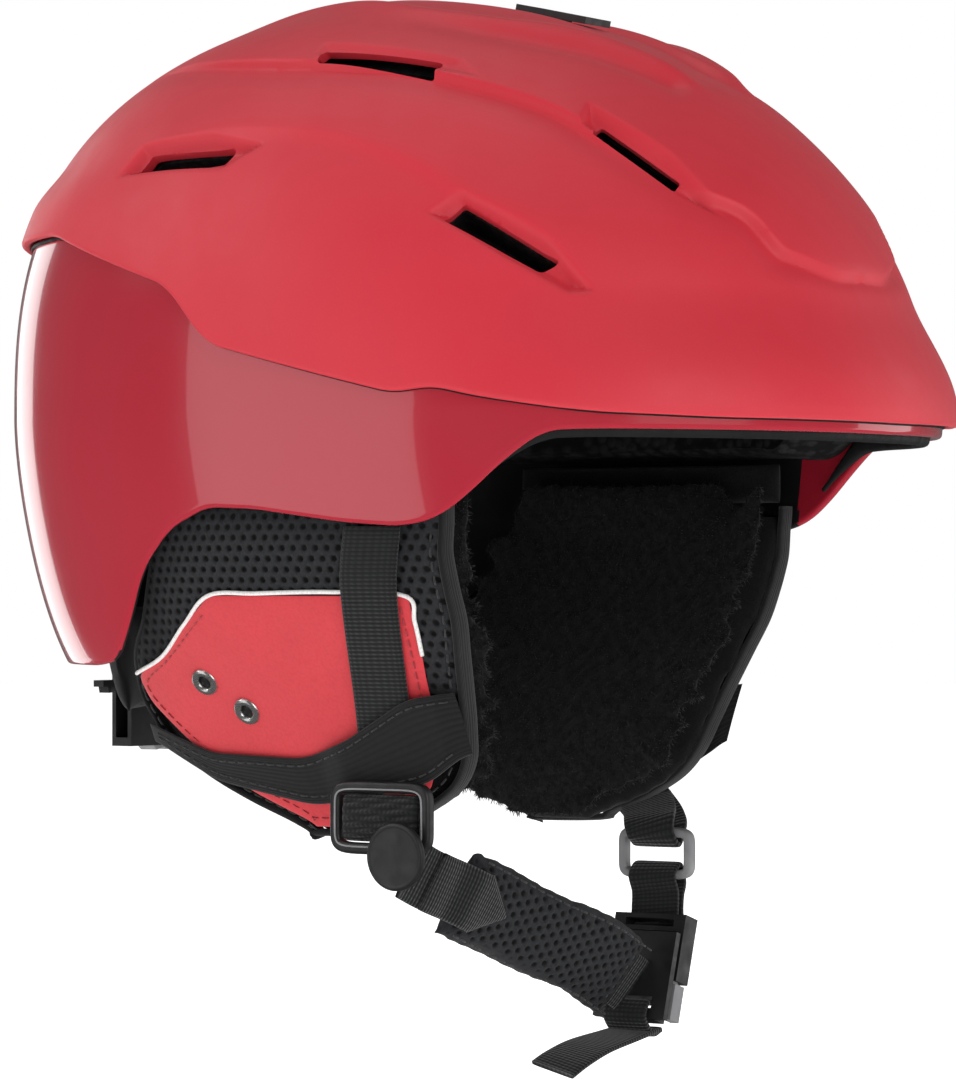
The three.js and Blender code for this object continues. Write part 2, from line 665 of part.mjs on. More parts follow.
// ---- vent slider, in a frame that follows the crown's slope ----
function makeVentSlider() {
  const slider = new THREE.Group();
  slider.position.set(...SLIDER_PLACE);
  slider.rotation.x = degToRad(SLIDER_SLOPE);
  helmet.add(slider);
  const grips = [-8, -4, 0, 4, 8].map((y) => block([-5, y - 0.7, 5], [5, y + 0.7, 7]));
  const button = cut(
    join(block([-6.5, -12, 3.6], [6.5, 12, 5.6]), block([-2, -2, -6.8], [2, 2, 4])),
    ...grips,
  );
  add("slider_button", button, COLORS.black, 0.5, 0, slider);
  const shutter = cut(
    block([-20, -24, -8.6], [20, 26, -7.1]),
    ...[-15, 8].map((y) => block([-8, y, -10], [8, y + 9, -5])),
  );
  add("vent_shutter", shutter, COLORS.black, 0.6, 0, slider);
}

// ---- fit system at the nape ----

const outlineShape = (points) => new THREE.Shape(points.map((p) => new THREE.Vector2(...p)));

// A point of a flat outline at an angle and radius.
const polar = (angle, radius) => [radius * Math.cos(angle), radius * Math.sin(angle)];

// A gear's outline: each tooth is a run of turns from its middle and radii.
function pinionShape() {
  const points = [];
  for (let i = 0; i < PINION_TEETH; i++) {
    const middle = ((i + 0.5) * 2 * Math.PI) / PINION_TEETH;
    for (const [turn, radius] of [[-0.17, 3.9], [-0.07, 5.7], [0.07, 5.7], [0.17, 3.9]]) {
      points.push(polar(middle + turn, radius));
    }
  }
  return outlineShape(points);
}

// A rack whose teeth point to -Z, with its pitch line at z = 0 and a tooth gap at x = 0.
function rackShape(from, to) {
  const pitch = (2 * Math.PI * PITCH_RADIUS) / PINION_TEETH;
  const [root, tip, back, plainEnd] = [1.1, -0.7, 3, 3];
  const points = [[from, root], [from, back], [to, back], [to, root]];
  const first = Math.floor((to - plainEnd) / pitch - 0.5);
  for (let i = first; (i + 0.5) * pitch > from + plainEnd; i--) {
    const middle = (i + 0.5) * pitch;
    for (const [offset, height] of [[0.75, root], [0.3, tip], [-0.3, tip], [-0.75, root]]) {
      points.push([middle + offset, height]);
    }
  }
  return outlineShape(points);
}

function makeFitSystem() {
  const outer = FIT_BACK;
  const inner = outer - FIT_BAND_THICK;
  const housing = cut(
    block([-25, outer - 5.3, DIAL_Z - 11.5], [25, outer + 1.8, DIAL_Z + 11.5]),
    block([-40, inner - 0.4, DIAL_Z - 9], [40, outer + 0.4, DIAL_Z + 9]),
    rod([0, outer - 1.2, DIAL_Z], [0, outer + 4.8, DIAL_Z], 3.2, 16),
  );
  add("fit_housing", housing, COLORS.black, 0.55);
  const yoke = block([-9, outer - 3, DIAL_Z + 11.8], [9, outer - 1.2, -42.4]);
  add("fit_yoke", yoke, COLORS.black, 0.55);

  // Extruded in XZ: the shape's Y becomes Z and its depth runs from the inner to the outer face.
  const standing = (shape) =>
    new THREE.ExtrudeGeometry(shape, { depth: FIT_BAND_THICK, bevelEnabled: false })
      .rotateX(Math.PI / 2)
      .translate(0, outer, DIAL_Z);
  const pinion = join(
    standing(pinionShape()),
    rod([0, outer - 1, DIAL_Z], [0, outer + 1.9, DIAL_Z], 2.9, 16),
  );
  add("fit_pinion", pinion, COLORS.black, 0.5);

  const right = standing(rackShape(-36, 14)).translate(0, 0, PITCH_RADIUS);
  add("fit_band_right", right, COLORS.black, 0.5);
  const left = right.clone().translate(0, 0, -DIAL_Z).rotateY(Math.PI).translate(0, 0, DIAL_Z);
  add("fit_band_left", left, COLORS.black, 0.5);

  const sides = DIAL_LOBES * 4;
  const rim = Array.from({ length: sides }, (_, i) => {
    const angle = (i / sides) * 2 * Math.PI;
    return polar(angle, DIAL_RADIUS + 0.6 * Math.cos(angle * DIAL_LOBES));
  });
  const dial = new THREE.ExtrudeGeometry(outlineShape(rim), { depth: 6, bevelEnabled: false })
    .rotateX(Math.PI / 2)
    .translate(0, outer + 8.2, DIAL_Z);
  add("fit_dial", dial, COLORS.black, 0.5);
}

// ---- goggle strap keeper at the back ----
// Its frame leans with the shell: +Y points away from the helmet.
function makeGoggleKeeper() {
  const keeper = new THREE.Group();
  keeper.position.set(...GOGGLE_PLACE);
  keeper.rotation.x = degToRad(GOGGLE_TILT);
  helmet.add(keeper);
  const base = join(block([-12, 0, -24], [12, 2, 20]), block([-9, 0, 13], [9, 5.2, 20]));
  const pinSeat = rod([-20, 6.2, 16.5], [20, 6.2, 16.5], 2.4, 12);
  const studHole = rod([0, -1, STUD_Z], [0, 3, STUD_Z], 4.6, 20);
  add("goggle_base", cut(base, pinSeat, studHole), COLORS.black, 0.5, 0, keeper);
  const stud = rod([0, 0.3, STUD_Z], [0, 7, STUD_Z], 4, 20);
  add("goggle_stud", stud, COLORS.steel, 0.3, 0.9, keeper);
  const hinge = rod([-9, 6.2, 16.5], [9, 6.2, 16.5], 2, 12);
  const strap = join(hinge, block([-9, 7.4, -24], [9, 8.9, 16.5]));
  add("goggle_strap", strap, COLORS.webbing, 0.8, 0, keeper);
  const cap = rod([0, 9.2, STUD_Z], [0, 10.7, STUD_Z], 6.5, 24);
  add("goggle_cap", cap, COLORS.black, 0.4, 0, keeper);
}

makeShells();
makeComfortPads();
makeBrimTrim();
makeNapePad();
makeEarPad(-1, "right");
makeEarPad(1, "left");
makeRightDivider();
makeLeftDivider();
makeChinStrap();
makeBuckle();
makeVentSlider();
makeFitSystem();
makeGoggleKeeper();

export default helmet;
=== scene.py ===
"""A ski helmet's looks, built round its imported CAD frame.

Shapes are worked out in millimetres and written to Blender in metres. +Z is up, the helmet faces -Y,
and the wearer's right is -X. An angle of 0 is the front and grows towards the wearer's right.
"""

import json
import math

import bpy
import numpy as np
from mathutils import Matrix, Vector

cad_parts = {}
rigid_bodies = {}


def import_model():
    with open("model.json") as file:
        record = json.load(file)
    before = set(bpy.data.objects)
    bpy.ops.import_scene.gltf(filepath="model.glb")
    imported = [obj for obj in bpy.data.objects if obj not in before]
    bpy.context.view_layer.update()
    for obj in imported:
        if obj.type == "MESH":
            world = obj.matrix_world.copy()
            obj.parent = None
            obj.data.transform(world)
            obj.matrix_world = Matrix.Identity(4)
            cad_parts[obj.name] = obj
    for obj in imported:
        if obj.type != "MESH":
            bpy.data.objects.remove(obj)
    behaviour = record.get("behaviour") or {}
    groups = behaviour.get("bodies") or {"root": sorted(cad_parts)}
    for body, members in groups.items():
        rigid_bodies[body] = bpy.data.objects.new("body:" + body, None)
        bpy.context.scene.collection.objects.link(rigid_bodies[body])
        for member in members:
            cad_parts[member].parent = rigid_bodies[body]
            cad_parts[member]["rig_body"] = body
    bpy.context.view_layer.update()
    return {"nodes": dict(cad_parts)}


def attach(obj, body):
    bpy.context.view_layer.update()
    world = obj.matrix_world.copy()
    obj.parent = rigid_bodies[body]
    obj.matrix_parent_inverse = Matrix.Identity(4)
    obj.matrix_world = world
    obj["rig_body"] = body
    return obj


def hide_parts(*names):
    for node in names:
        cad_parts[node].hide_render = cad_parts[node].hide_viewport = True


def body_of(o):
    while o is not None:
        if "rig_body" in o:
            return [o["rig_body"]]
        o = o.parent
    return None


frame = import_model()

MM = 0.001
WAVES_PER_UNIT = 3.1831  # how many bands Blender's wave texture draws at a scale of 1

# ---- driving dimensions, as the frame has them ----
SHELL_HEIGHT = 118
HALF_WIDTH = 108
FRONT_LENGTH = 132
BACK_LENGTH = 138
CROWN_SHIFT = 10
SKIRT_DEPTH = 70
SHELL_WALL = 2.6
UPPER_PROUD = 1.5
LOWER_INSET = 1.5
BRIM_FLARE = 7
REAR_LIP = 2.2
LAP = 8
LINER_OUTSIDE = 5.2
LINER_INSIDE = 27
CHANNEL_DEPTH = 3
EAR_WIDTH = 98.5
EAR_HINGE_Z = -24
EAR_PAD_THICK = 13
FLEECE_THICK = 7
FLEECE_TOP = -12.5
WEB_WIDTH = 17
DIVIDER_PLACE = np.array([-70.5, -16, -110.5])
LEFT_DIVIDER_PLACE = np.array([50, -29, -125])
BUCKLE_PLACE = np.array([41, -31, -156.5])
BUCKLE_TILT = 17
MESH_PITCH = 3.3  # between the holes of the spacer mesh

# How squarely the surface bends, in front, at the side and behind: round it, and up to the crown.
OUTWARD_POWERS = (2.2, 2.5, 2)
UPWARD_POWERS = (1.85, 2.4, 2.75)
UPPER_SOFT = 2.5  # degrees over which the upper shell's edge rounds its corners
LOWER_SOFT = 2.2
SHELL_COLUMNS = 720
UPPER_ROWS = 240
LOWER_ROWS = 84
LINER_COLUMNS = 360
LINER_ROWS = 110
MESH_ROWS = 110
MESH_COLUMNS = 250
WEB_SIDES = 26  # points round a strap's section
BINDING_SIDES = 22
PATCH_COLUMNS = 38

CAMERA_AZIMUTH = -56
CAMERA_ELEVATION = -0.5
CAMERA_DISTANCE = 1.4
CAMERA_AIM = (0, 0, -0.0343)
CAMERA_LENS = 163.33

UPPER_EDGE = [
    (0, -3), (28, -2.5), (42, -1.2), (48, 0.4), (56, 3), (63, 6.2), (67, 4), (98, 18.5), (106, 34.4),
    (134, 51), (150, 50), (180, 46),
]
LOWER_EDGE = [
    (0, -5.4), (42, -5), (48, -5.4), (53, -13), (58, -22.6), (62, -28.4), (67, -30.5), (76, -29.4),
    (92, -25.6), (101, -25), (109, -30.8), (116, -41.6), (122, -56.8), (128, -67.5), (134, -69),
    (180, -69),
]
LINER_EDGE = [(0, -3), (46, -3), (53, -10), (57, -9), (128, -9), (136, -42), (180, -42)]

EAR_ROWS = [
    (-24, -52, 46), (-40, -51, 50), (-57, -50, 62), (-68, -47, 74), (-80, -44, 75), (-96, -40, 65),
    (-107, -31, 43), (-118, -4, 14),
]
PANEL_ROWS = [
    (-50, -38, 27), (-58, -37, 40), (-67, -36, 54), (-72, -35, 69), (-80, -34, 67), (-92, -32, 54),
    (-104, -26, 36), (-114, 0, 12),
]
STRAP_LINE = [(-26, -33), (-51, -27), (-90, -17), (-104, -12)]
# The eyelets' turned sections, as radius and distance along the axis.
EYELET_RING = [
    (1.9, -0.6), (4.1, -0.4), (4.15, 0.2), (3.9, 0.75), (3.3, 1.05), (2.7, 1.05), (2.2, 0.75),
    (1.9, 0.1),
]
EYELET_HOLE = [(0.1, 0), (2, 0), (2.05, -0.6), (0.1, -0.6)]
BAND_TOP = [(-43, -76), (-29, -78), (-5, -90), (12, -95), (46, -94), (70, -86)]
BAND_BOTTOM = [(-43, -92), (-29, -101), (-5, -106), (12, -108), (46, -102), (70, -91)]

# Each vent's opening and the recess pressed round it: corners on the right side of the shell.
VENTS = {
    "rear_side": (
        [(-91, 55, 66), (-89, 50, 72), (-93, 17, 72), (-96, 22, 66)],
        [(-90, 59.5, 65.2), (-87, 52.5, 74.2), (-91, 24, 75), (-94, 5, 72), (-97, 18, 65.4)],
    ),
    "front_side": (
        [(-92, -51, 49), (-88, -55, 54), (-80, -80, 38), (-84, -76, 35)],
        [
            (-93, -46, 50.5), (-87, -53, 57), (-79.5, -77, 43), (-77.5, -90, 29.5), (-82, -84, 29),
            (-88, -68, 38),
        ],
    ),
    "upper_rear": (
        [(-75.5, 1, 93.5), (-72, 1, 98), (-67, -34, 94), (-71, -34, 88)],
        [(-74.5, 3, 96), (-69.5, 3, 100.5), (-63.5, -38, 94.5), (-66, -46, 88.5), (-69, -36, 89.5)],
    ),
    "upper_front": (
        [(-57, -75, 73), (-55, -77, 76), (-47, -97, 60), (-49, -96, 57)],
        [(-59, -72, 75.5), (-53, -71.5, 82), (-45, -92, 68), (-41, -108, 50), (-48.5, -98, 56.5)],
    ),
}
SLIDER_SLOT = [(-2.8, -34, 112), (-2.8, -12, 116), (2.8, -12, 116), (2.8, -34, 112)]

# Lines pressed into the shell, as x and y seen from above, on the right side.
PANEL_CREASE = [
    (-47, 84), (-62, 58), (-73, 30), (-77, -3), (-71, -36), (-61, -67), (-58, -78.5), (-49, -98),
    (-36, -110), (-32, -116), (-28, -119), (-14, -124), (-2, -125),
]
SIDE_RIDGE = [
    (-88, 58), (-90, 19.5), (-91, -3), (-90, -26), (-88, -44), (-86, -58), (-78.5, -79), (-74, -92),
]
CROWN_RIDGE = [
    (-37, 60), (-37, 39), (-36, 27), (-44, 0), (-46, -14), (-40, -34), (-30, -48), (-20, -67),
    (-12, -86),
]
CROWN_GROOVE = [(-52, 0), (-50, -22), (-42, -43), (-32, -60), (-24, -74), (-18, -84)]
# Height, width to the left and to the right, and the shares along the line where it has faded in
# and where it starts to fade out.
RIDGES = [
    (SIDE_RIDGE, 0.9, 9, 3, 0.12, 0.85),
    (CROWN_RIDGE, 1.5, 4, 7, 0.2, 0.9),
    (CROWN_GROOVE, -2.0, 3.6, 6, 0.45, 0.93),
]


# ---- numbers ----
def smoothstep(x, low, high):
    share = np.clip((np.asarray(x, float) - low) / (high - low), 0, 1)
    return share * share * (3 - 2 * share)


def lerp(a, b, share):
    return a + (b - a) * share


def unit(vectors):
    vectors = np.asarray(vectors, float)
    return vectors / np.maximum(np.linalg.norm(vectors, axis=-1, keepdims=True), 1e-9)


def along(pairs, key, soft=0.0):
    """A polyline of (key, value) read at a key, its corners rounded over soft on either side."""
    keys, values = zip(*sorted(pairs))
    offsets = np.linspace(-soft, soft, 9) if soft else [0]
    return np.mean([np.interp(np.asarray(key) + offset, keys, values) for offset in offsets], axis=0)


def run_along(path):
    """The distance from a path's start to each of its points."""
    return np.concatenate([[0], np.cumsum(np.linalg.norm(np.diff(path, axis=0), axis=1))])


def circle(count):
    return np.linspace(0, 2 * math.pi, count, endpoint=False)


def spline(places, count):
    """Points at even distances along a smooth curve through the places."""
    places = np.asarray(places, float)
    padded = np.vstack([2 * places[0] - places[1], places, 2 * places[-1] - places[-2]])
    t = np.linspace(0, 1, 24, endpoint=False)[:, None]
    fine = []
    for a, b, c, d in zip(padded, padded[1:], padded[2:], padded[3:]):
        square, cube = 2 * a - 5 * b + 4 * c - d, 3 * b - a - 3 * c + d
        fine.append(0.5 * (2 * b + (c - a) * t + square * t**2 + cube * t**3))
    fine = np.vstack(fine + [places[-1:]])
    run = run_along(fine)
    even = np.linspace(0, run[-1], count)
    return np.stack([np.interp(even, run, fine[:, k]) for k in range(3)], axis=1)


def hexagons(u, v, pitch):
    """1 in the middle of each hole of a staggered pattern, and 0 or less on the threads between."""
    turns = [0, math.pi / 3, 2 * math.pi / 3]
    wave = 4 * math.pi / (math.sqrt(3) * pitch)
    total = sum(np.cos(wave * (u * math.cos(t) + v * math.sin(t))) for t in turns)
    return (total + 0.4) / 3.4


# ---- the shells' surface ----
def shares(angle):
    """How far an angle belongs to the front, the side and the back."""
    c = np.cos(angle)
    back = smoothstep(-c, 0, 1)
    front = smoothstep(c, 0, 1)
    return front, 1 - front - back, back


def powers(angle):
    """The outward and the upward power at an angle."""
    return [sum(map(np.multiply, row, shares(angle))) for row in (OUTWARD_POWERS, UPWARD_POWERS)]


def plan_radius(angle):
    c, s = np.cos(angle), np.sin(angle)
    length = np.where(c > 0, FRONT_LENGTH, BACK_LENGTH)
    power = np.where(c > 0, 2.1, 2.3)
    return (np.abs(c / length) ** power + np.abs(s / HALF_WIDTH) ** power) ** (-1 / power)


def surface(angle, height, out):
    """The base surface at an angle and height, set out from itself by some millimetres."""
    angle, height, out = np.broadcast_arrays(*(np.asarray(x, float) for x in (angle, height, out)))
    front, side, back = shares(angle)
    outward, upward = powers(angle)
    cosine = np.clip(height / (SHELL_HEIGHT + out), 0, 1) ** (upward / 2)
    sine = np.sqrt(1 - cosine * cosine)
    dome = (plan_radius(angle) + out) * sine ** (2 / outward)
    depth = np.maximum(-height, 0) / SKIRT_DEPTH
    tuck = (0.1 * depth**1.6 + 0.02 * depth**6) * back + 0.12 * depth**1.5 * side + 0.05 * depth * front
    radius = np.where(height > 0, dome, plan_radius(angle) * (1 - tuck) + out)
    shift = np.where(height > 0, CROWN_SHIFT * cosine * cosine, 0)
    return np.stack([-np.sin(angle) * radius, -np.cos(angle) * radius + shift, height], axis=-1)


def edge_angle(angle):
    return 180 - np.abs(180 - np.degrees(angle) % 360)


def brim_out(angle, height):
    return BRIM_FLARE * smoothstep(np.cos(angle), 0.2, 1) * smoothstep(-height, -32, 0)


def rear_share(angle):
    return smoothstep(-np.cos(angle), 0.5, 0.85)


def upper_out(angle, height):
    lip = REAR_LIP * rear_share(angle) * smoothstep(-height, -72, -58)
    return UPPER_PROUD + brim_out(angle, height) + lip


def lower_out(angle, height):
    return 0.84 * brim_out(angle, height) - LOWER_INSET * (1 - rear_share(angle))


def cap_grid(edge, out, rows, columns, soft=UPPER_SOFT):
    """A cap's rings of points, from near the crown down to its edge."""
    angle = circle(columns)[None, :]
    low = along(edge, edge_angle(angle), soft)
    bend = np.arccos(np.clip(low / SHELL_HEIGHT, 0, 1))
    reach = bend + np.maximum(-low, 0) / HALF_WIDTH
    turned = np.linspace(0.006, 1, rows)[:, None] * reach
    below = turned - math.pi / 2
    height = np.where(below <= 0, SHELL_HEIGHT * np.cos(turned), -below * HALF_WIDTH)
    extra = out(angle, height) if callable(out) else np.full_like(height, out)
    height = np.where(height > 0, height * (1 + extra / SHELL_HEIGHT), height)
    return surface(np.broadcast_to(angle, height.shape), height, extra)


def with_channel(points):
    """A dip along the crown, narrow in front and wide behind."""
    x, y, z = (points[..., k] for k in range(3))
    half = lerp(13, 36, np.clip((y + 84) / 120, 0, 1))
    across = 1 - smoothstep(np.abs(x), half - 7, half)
    lengthways = smoothstep(y, -88, -66) * (1 - smoothstep(y, 45, 75))
    dipped = np.array(points)
    dipped[..., 2] -= np.where(z > 60, CHANNEL_DEPTH * across * lengthways, 0)
    return dipped


def drop_on_shell(x, y):
    """The point of the base surface that stands over x and y."""
    height = np.full(len(x), 90.0)
    for _ in range(12):
        cosine_guess = np.clip(height / SHELL_HEIGHT, 0, 1)
        shift = CROWN_SHIFT * cosine_guess**2.4
        angle = np.arctan2(-x, -(y - shift))
        outward, upward = powers(angle)
        sine = np.clip(np.hypot(x, y - shift) / plan_radius(angle), 0, 1) ** (outward / 2)
        height = 0.5 * height + 0.5 * SHELL_HEIGHT * np.sqrt(1 - sine * sine) ** (2 / upward)
    return surface(angle, np.maximum(height, 1), 0)


# ---- meshes: a shape is a list of points and a list of faces ----
def grid_faces(rows, columns, wrap=False):
    i, j = np.meshgrid(np.arange(rows - 1), np.arange(columns if wrap else columns - 1), indexing="ij")
    following = (j + 1) % columns
    here, below = i * columns, (i + 1) * columns
    quads = [here + j, below + j, below + following, here + following]
    return np.stack(quads, axis=-1).reshape(-1, 4)


def vertex_normals(points, quads):
    corners = points[quads]
    face = np.cross(corners[:, 2] - corners[:, 0], corners[:, 3] - corners[:, 1])
    total = np.zeros_like(points)
    for k in range(4):
        np.add.at(total, quads[:, k], face)
    return unit(total)


def walled(points, quads, thickness, bulge=0.35, steps=5):
    """A closed wall: a skin, its copy set in by the thickness, and rounded rims between."""
    normals = vertex_normals(points, quads)
    count = len(points)
    inner = points - normals * thickness
    edges = np.concatenate([quads[:, [k, (k + 1) % 4]] for k in range(4)])
    code = np.sort(edges, axis=1) @ np.array([count, 1])
    _, first, times = np.unique(code, return_index=True, return_counts=True)
    border = edges[first[times == 1]]
    push = np.zeros_like(points)
    sideways = unit(np.cross(points[border[:, 1]] - points[border[:, 0]], normals[border[:, 0]]))
    for k in range(2):
        np.add.at(push, border[:, k], sideways)
    on_rim = np.unique(border)
    push = unit(push[on_rim])
    place = np.full(count, -1)
    place[on_rim] = np.arange(len(on_rim))
    rings = []
    for k in range(1, steps):
        turn = math.pi * k / steps
        depth = thickness / 2 * (1 - math.cos(turn))
        ring = points[on_rim] - normals[on_rim] * depth
        rings.append(ring + push * math.sin(turn) * thickness * bulge)
    faces = [quads, quads[:, ::-1] + count]
    levels = [lambda v: v]
    for k in range(steps - 1):
        levels.append(lambda v, k=k: place[v] + 2 * count + k * len(on_rim))
    levels.append(lambda v: v + count)
    a, b = border[:, 0], border[:, 1]
    for upper, lower in zip(levels, levels[1:]):
        faces.append(np.stack([upper(b), upper(a), lower(a), lower(b)], axis=1))
    used, index = np.unique(np.concatenate(faces), return_inverse=True)
    everything = np.concatenate([points, inner, *rings])
    return everything[used], index.reshape(-1, 4)


def pillow(outer, inner, power=8):
    """A closed plate between two sheets of points, thinning to nothing at its edges."""
    rows, columns = outer.shape[:2]
    u = np.linspace(-1, 1, rows)[:, None]
    v = np.linspace(-1, 1, columns)[None, :]
    bend_u, bend_v = np.sin(u * math.pi / 2), np.sin(v * math.pi / 2)
    full = (1 - np.abs(bend_u) ** power) ** 0.5 * (1 - np.abs(bend_v) ** power) ** 0.5
    middle = (outer + inner) / 2
    face = middle + (outer - middle) * full[..., None]
    back = middle + (inner - middle) * full[..., None]
    index = np.arange(rows * columns).reshape(rows, columns)
    other = index.copy()
    other[1:-1, 1:-1] = np.arange((rows - 2) * (columns - 2)).reshape(rows - 2, -1) + rows * columns
    quads = grid_faces(rows, columns)
    points = np.concatenate([face.reshape(-1, 3), back[1:-1, 1:-1].reshape(-1, 3)])
    return points, np.concatenate([quads, other.ravel()[quads][:, ::-1]])


def spread(count):
    """Shares from 0 to 1, closer together near both ends."""
    return (np.sin(np.linspace(-0.5, 0.5, count) * math.pi) + 1) / 2


def frames_along(path, start, end, closed=False):
    """The direction across and the normal at each point of a path."""
    ahead = np.roll(path, -1, axis=0) if closed else np.vstack([path[1:], 2 * path[-1] - path[-2]])
    behind = np.roll(path, 1, axis=0) if closed else np.vstack([2 * path[0] - path[1], path[:-1]])
    tangent = unit(ahead - behind)
    share = np.linspace(0, 1, len(path))[:, None]
    across = lerp(unit(start), unit(end), share)
    across = unit(across - tangent * np.sum(across * tangent, axis=1, keepdims=True))
    return across, np.cross(across, tangent)


def oval(width, height, sides=12, power=2.0):
    """A closed section: an ellipse at power 2, and a rounded box as the power grows."""
    turn = circle(sides) + math.pi / sides
    flat = np.stack([np.cos(turn), np.sin(turn)], axis=1)
    return np.sign(flat) * np.abs(flat) ** (2 / power) * np.array([width, height]) / 2


def sweep(path, across, normal, section, closed=False, taper=None):
    """A section carried along a path. taper gives its size at each point."""
    size = np.ones(len(path)) if taper is None else taper
    rings = path[:, None] + (
        across[:, None] * section[None, :, :1] + normal[:, None] * section[None, :, 1:]
    ) * size[:, None, None]
    sides = len(section)
    quads = grid_faces(len(path), sides, wrap=True)[:, ::-1]
    faces = quads.tolist()
    if closed:
        last = (len(path) - 1) * sides
        for j in range(sides):
            after = (j + 1) % sides
            faces.append([last + after, after, j, last + j])
    else:
        faces.append(list(range(sides)))
        faces.append([(len(path) - 1) * sides + j for j in reversed(range(sides))])
    return rings.reshape(-1, 3), faces


def cord_shape(path, radius, closed=False, sides=10):
    """A round cord along a path."""
    guide = unit(np.cross(path[1] - path[0], [0.31, 0.47, 0.83]))
    across, normal = frames_along(path, guide, guide, closed)
    return sweep(path, across, normal, oval(2 * radius, 2 * radius, sides), closed)


def lathe(profile, centre, axis, sides=40):
    """A turned piece: profile points are (radius, distance along the axis)."""
    axis = unit(axis)
    side = unit(np.cross(axis, [0.2, 0.9, 0.1]))
    other = np.cross(axis, side)
    turn = circle(sides)
    around = np.cos(turn)[:, None] * side + np.sin(turn)[:, None] * other
    rings = [np.asarray(centre) + radius * around + distance * axis for radius, distance in profile]
    faces = grid_faces(len(profile), sides, wrap=True).tolist()
    faces.append(list(range(sides)))
    faces.append([(len(profile) - 1) * sides + j for j in reversed(range(sides))])
    return np.concatenate(rings), faces


def joined(*shapes):
    """Several shapes as one."""
    points, faces, start = [], [], 0
    for shape_points, shape_faces in shapes:
        points.append(np.asarray(shape_points))
        faces.extend([[v + start for v in face] for face in shape_faces])
        start += len(shape_points)
    return np.concatenate(points), faces


def stitches(path, normals, length, gap, radius):
    """A row of thread stitches lying on a surface along a path."""
    run = run_along(path)

    def at(distance, values):
        return np.array([np.interp(distance, run, values[:, k]) for k in range(3)])

    shapes = []
    for begin in np.arange(gap, run[-1] - length, length + gap):
        places = []
        for share, lift in ((0, -0.5), (0.12, 0.45), (0.5, 0.8), (0.88, 0.45), (1, -0.5)):
            distance = begin + share * length
            places.append(at(distance, path) + unit(at(distance, normals)) * radius * lift)
        shapes.append(cord_shape(np.array(places), radius, sides=6))
    return joined(*shapes)


def new_object(name, shape):
    points, faces = shape
    faces = faces.tolist() if isinstance(faces, np.ndarray) else faces
    mesh = bpy.data.meshes.new(name)
    mesh.from_pydata((np.asarray(points) * MM).tolist(), [], faces)
    mesh.update()
    mesh.shade_smooth()
    piece = bpy.data.objects.new(name, mesh)
    bpy.context.scene.collection.objects.link(piece)
    return piece


def face_out(piece, centred=False):
    """Turns a closed piece's faces out, as judged from the origin or from the piece's own middle."""
    mesh = piece.data
    mesh.calc_loop_triangles()
    points = coordinates(piece)
    if centred:
        points -= points.mean(axis=0)
    corners = np.zeros(len(mesh.loop_triangles) * 3, int)
    mesh.loop_triangles.foreach_get("vertices", corners)
    a, b, c = points[corners.reshape(-1, 3)].transpose(1, 0, 2)
    if np.sum(a * np.cross(b, c)) < 0:
        mesh.flip_normals()


def coordinates(piece):
    points = np.zeros(len(piece.data.vertices) * 3)
    piece.data.vertices.foreach_get("co", points)
    return points.reshape(-1, 3)


def set_coordinates(piece, points):
    piece.data.vertices.foreach_set("co", points.ravel())
    piece.data.update()


def normals_of(piece):
    normals = np.zeros(len(piece.data.vertices) * 3)
    piece.data.vertex_normals.foreach_get("vector", normals)
    return normals.reshape(-1, 3)


def apply_modifiers(piece):
    bpy.context.view_layer.update()
    shown = piece.evaluated_get(bpy.context.evaluated_depsgraph_get())
    mesh = bpy.data.meshes.new_from_object(shown)
    piece.modifiers.clear()
    piece.data = mesh
    mesh.shade_smooth()


def refine(piece, levels):
    if levels:
        modifier = piece.modifiers.new("refine", "SUBSURF")
        modifier.levels = modifier.render_levels = levels
        apply_modifiers(piece)


def soften(piece, repeats=4):
    modifier = piece.modifiers.new("soften", "SMOOTH")
    modifier.factor = 0.5
    modifier.iterations = repeats
    apply_modifiers(piece)


def puff(piece, cap, voxel=4.0, pressure=4.0, levels=1):
    """Swells a padded piece by cloth simulation. No point moves further than cap."""
    face_out(piece)
    remesh = piece.modifiers.new("remesh", "REMESH")
    remesh.mode = "VOXEL"
    remesh.voxel_size = voxel * MM
    apply_modifiers(piece)
    soften(piece, 3)
    rest = coordinates(piece)
    cloth = piece.modifiers.new("cloth", "CLOTH")
    cloth.settings.use_pressure = True
    cloth.settings.uniform_pressure_force = pressure
    cloth.settings.effector_weights.gravity = 0
    cloth.point_cache.frame_start = 1
    cloth.point_cache.frame_end = 20
    scene = bpy.context.scene
    for step in range(1, 21):
        scene.frame_set(step)
    apply_modifiers(piece)
    moved = np.nan_to_num(coordinates(piece) - rest)
    length = np.linalg.norm(moved, axis=1, keepdims=True)
    moved *= np.minimum(1, cap * MM / np.maximum(length, 1e-9))
    set_coordinates(piece, rest + moved)
    scene.frame_set(1)
    soften(piece, 2)
    refine(piece, levels)
    return piece


def emboss(piece, height):
    """Moves each point along its normal by height(points), in millimetres."""
    points = coordinates(piece)
    set_coordinates(piece, points + normals_of(piece) * height(points / MM)[:, None] * MM)


def note(piece, name, values):
    """Stores a number for each point, which a material can read."""
    attribute = piece.data.attributes.new(name, "FLOAT", "POINT")
    attribute.data.foreach_set("value", np.asarray(values, np.float32))


def measure_uv(piece, u, v):
    """Gives each point texture coordinates in metres."""
    layer = piece.data.uv_layers.new(name="UVMap")
    index = np.zeros(len(piece.data.loops), int)
    piece.data.loops.foreach_get("vertex_index", index)
    layer.data.foreach_set("uv", (np.stack([u[index], v[index]], axis=1) * MM).ravel())


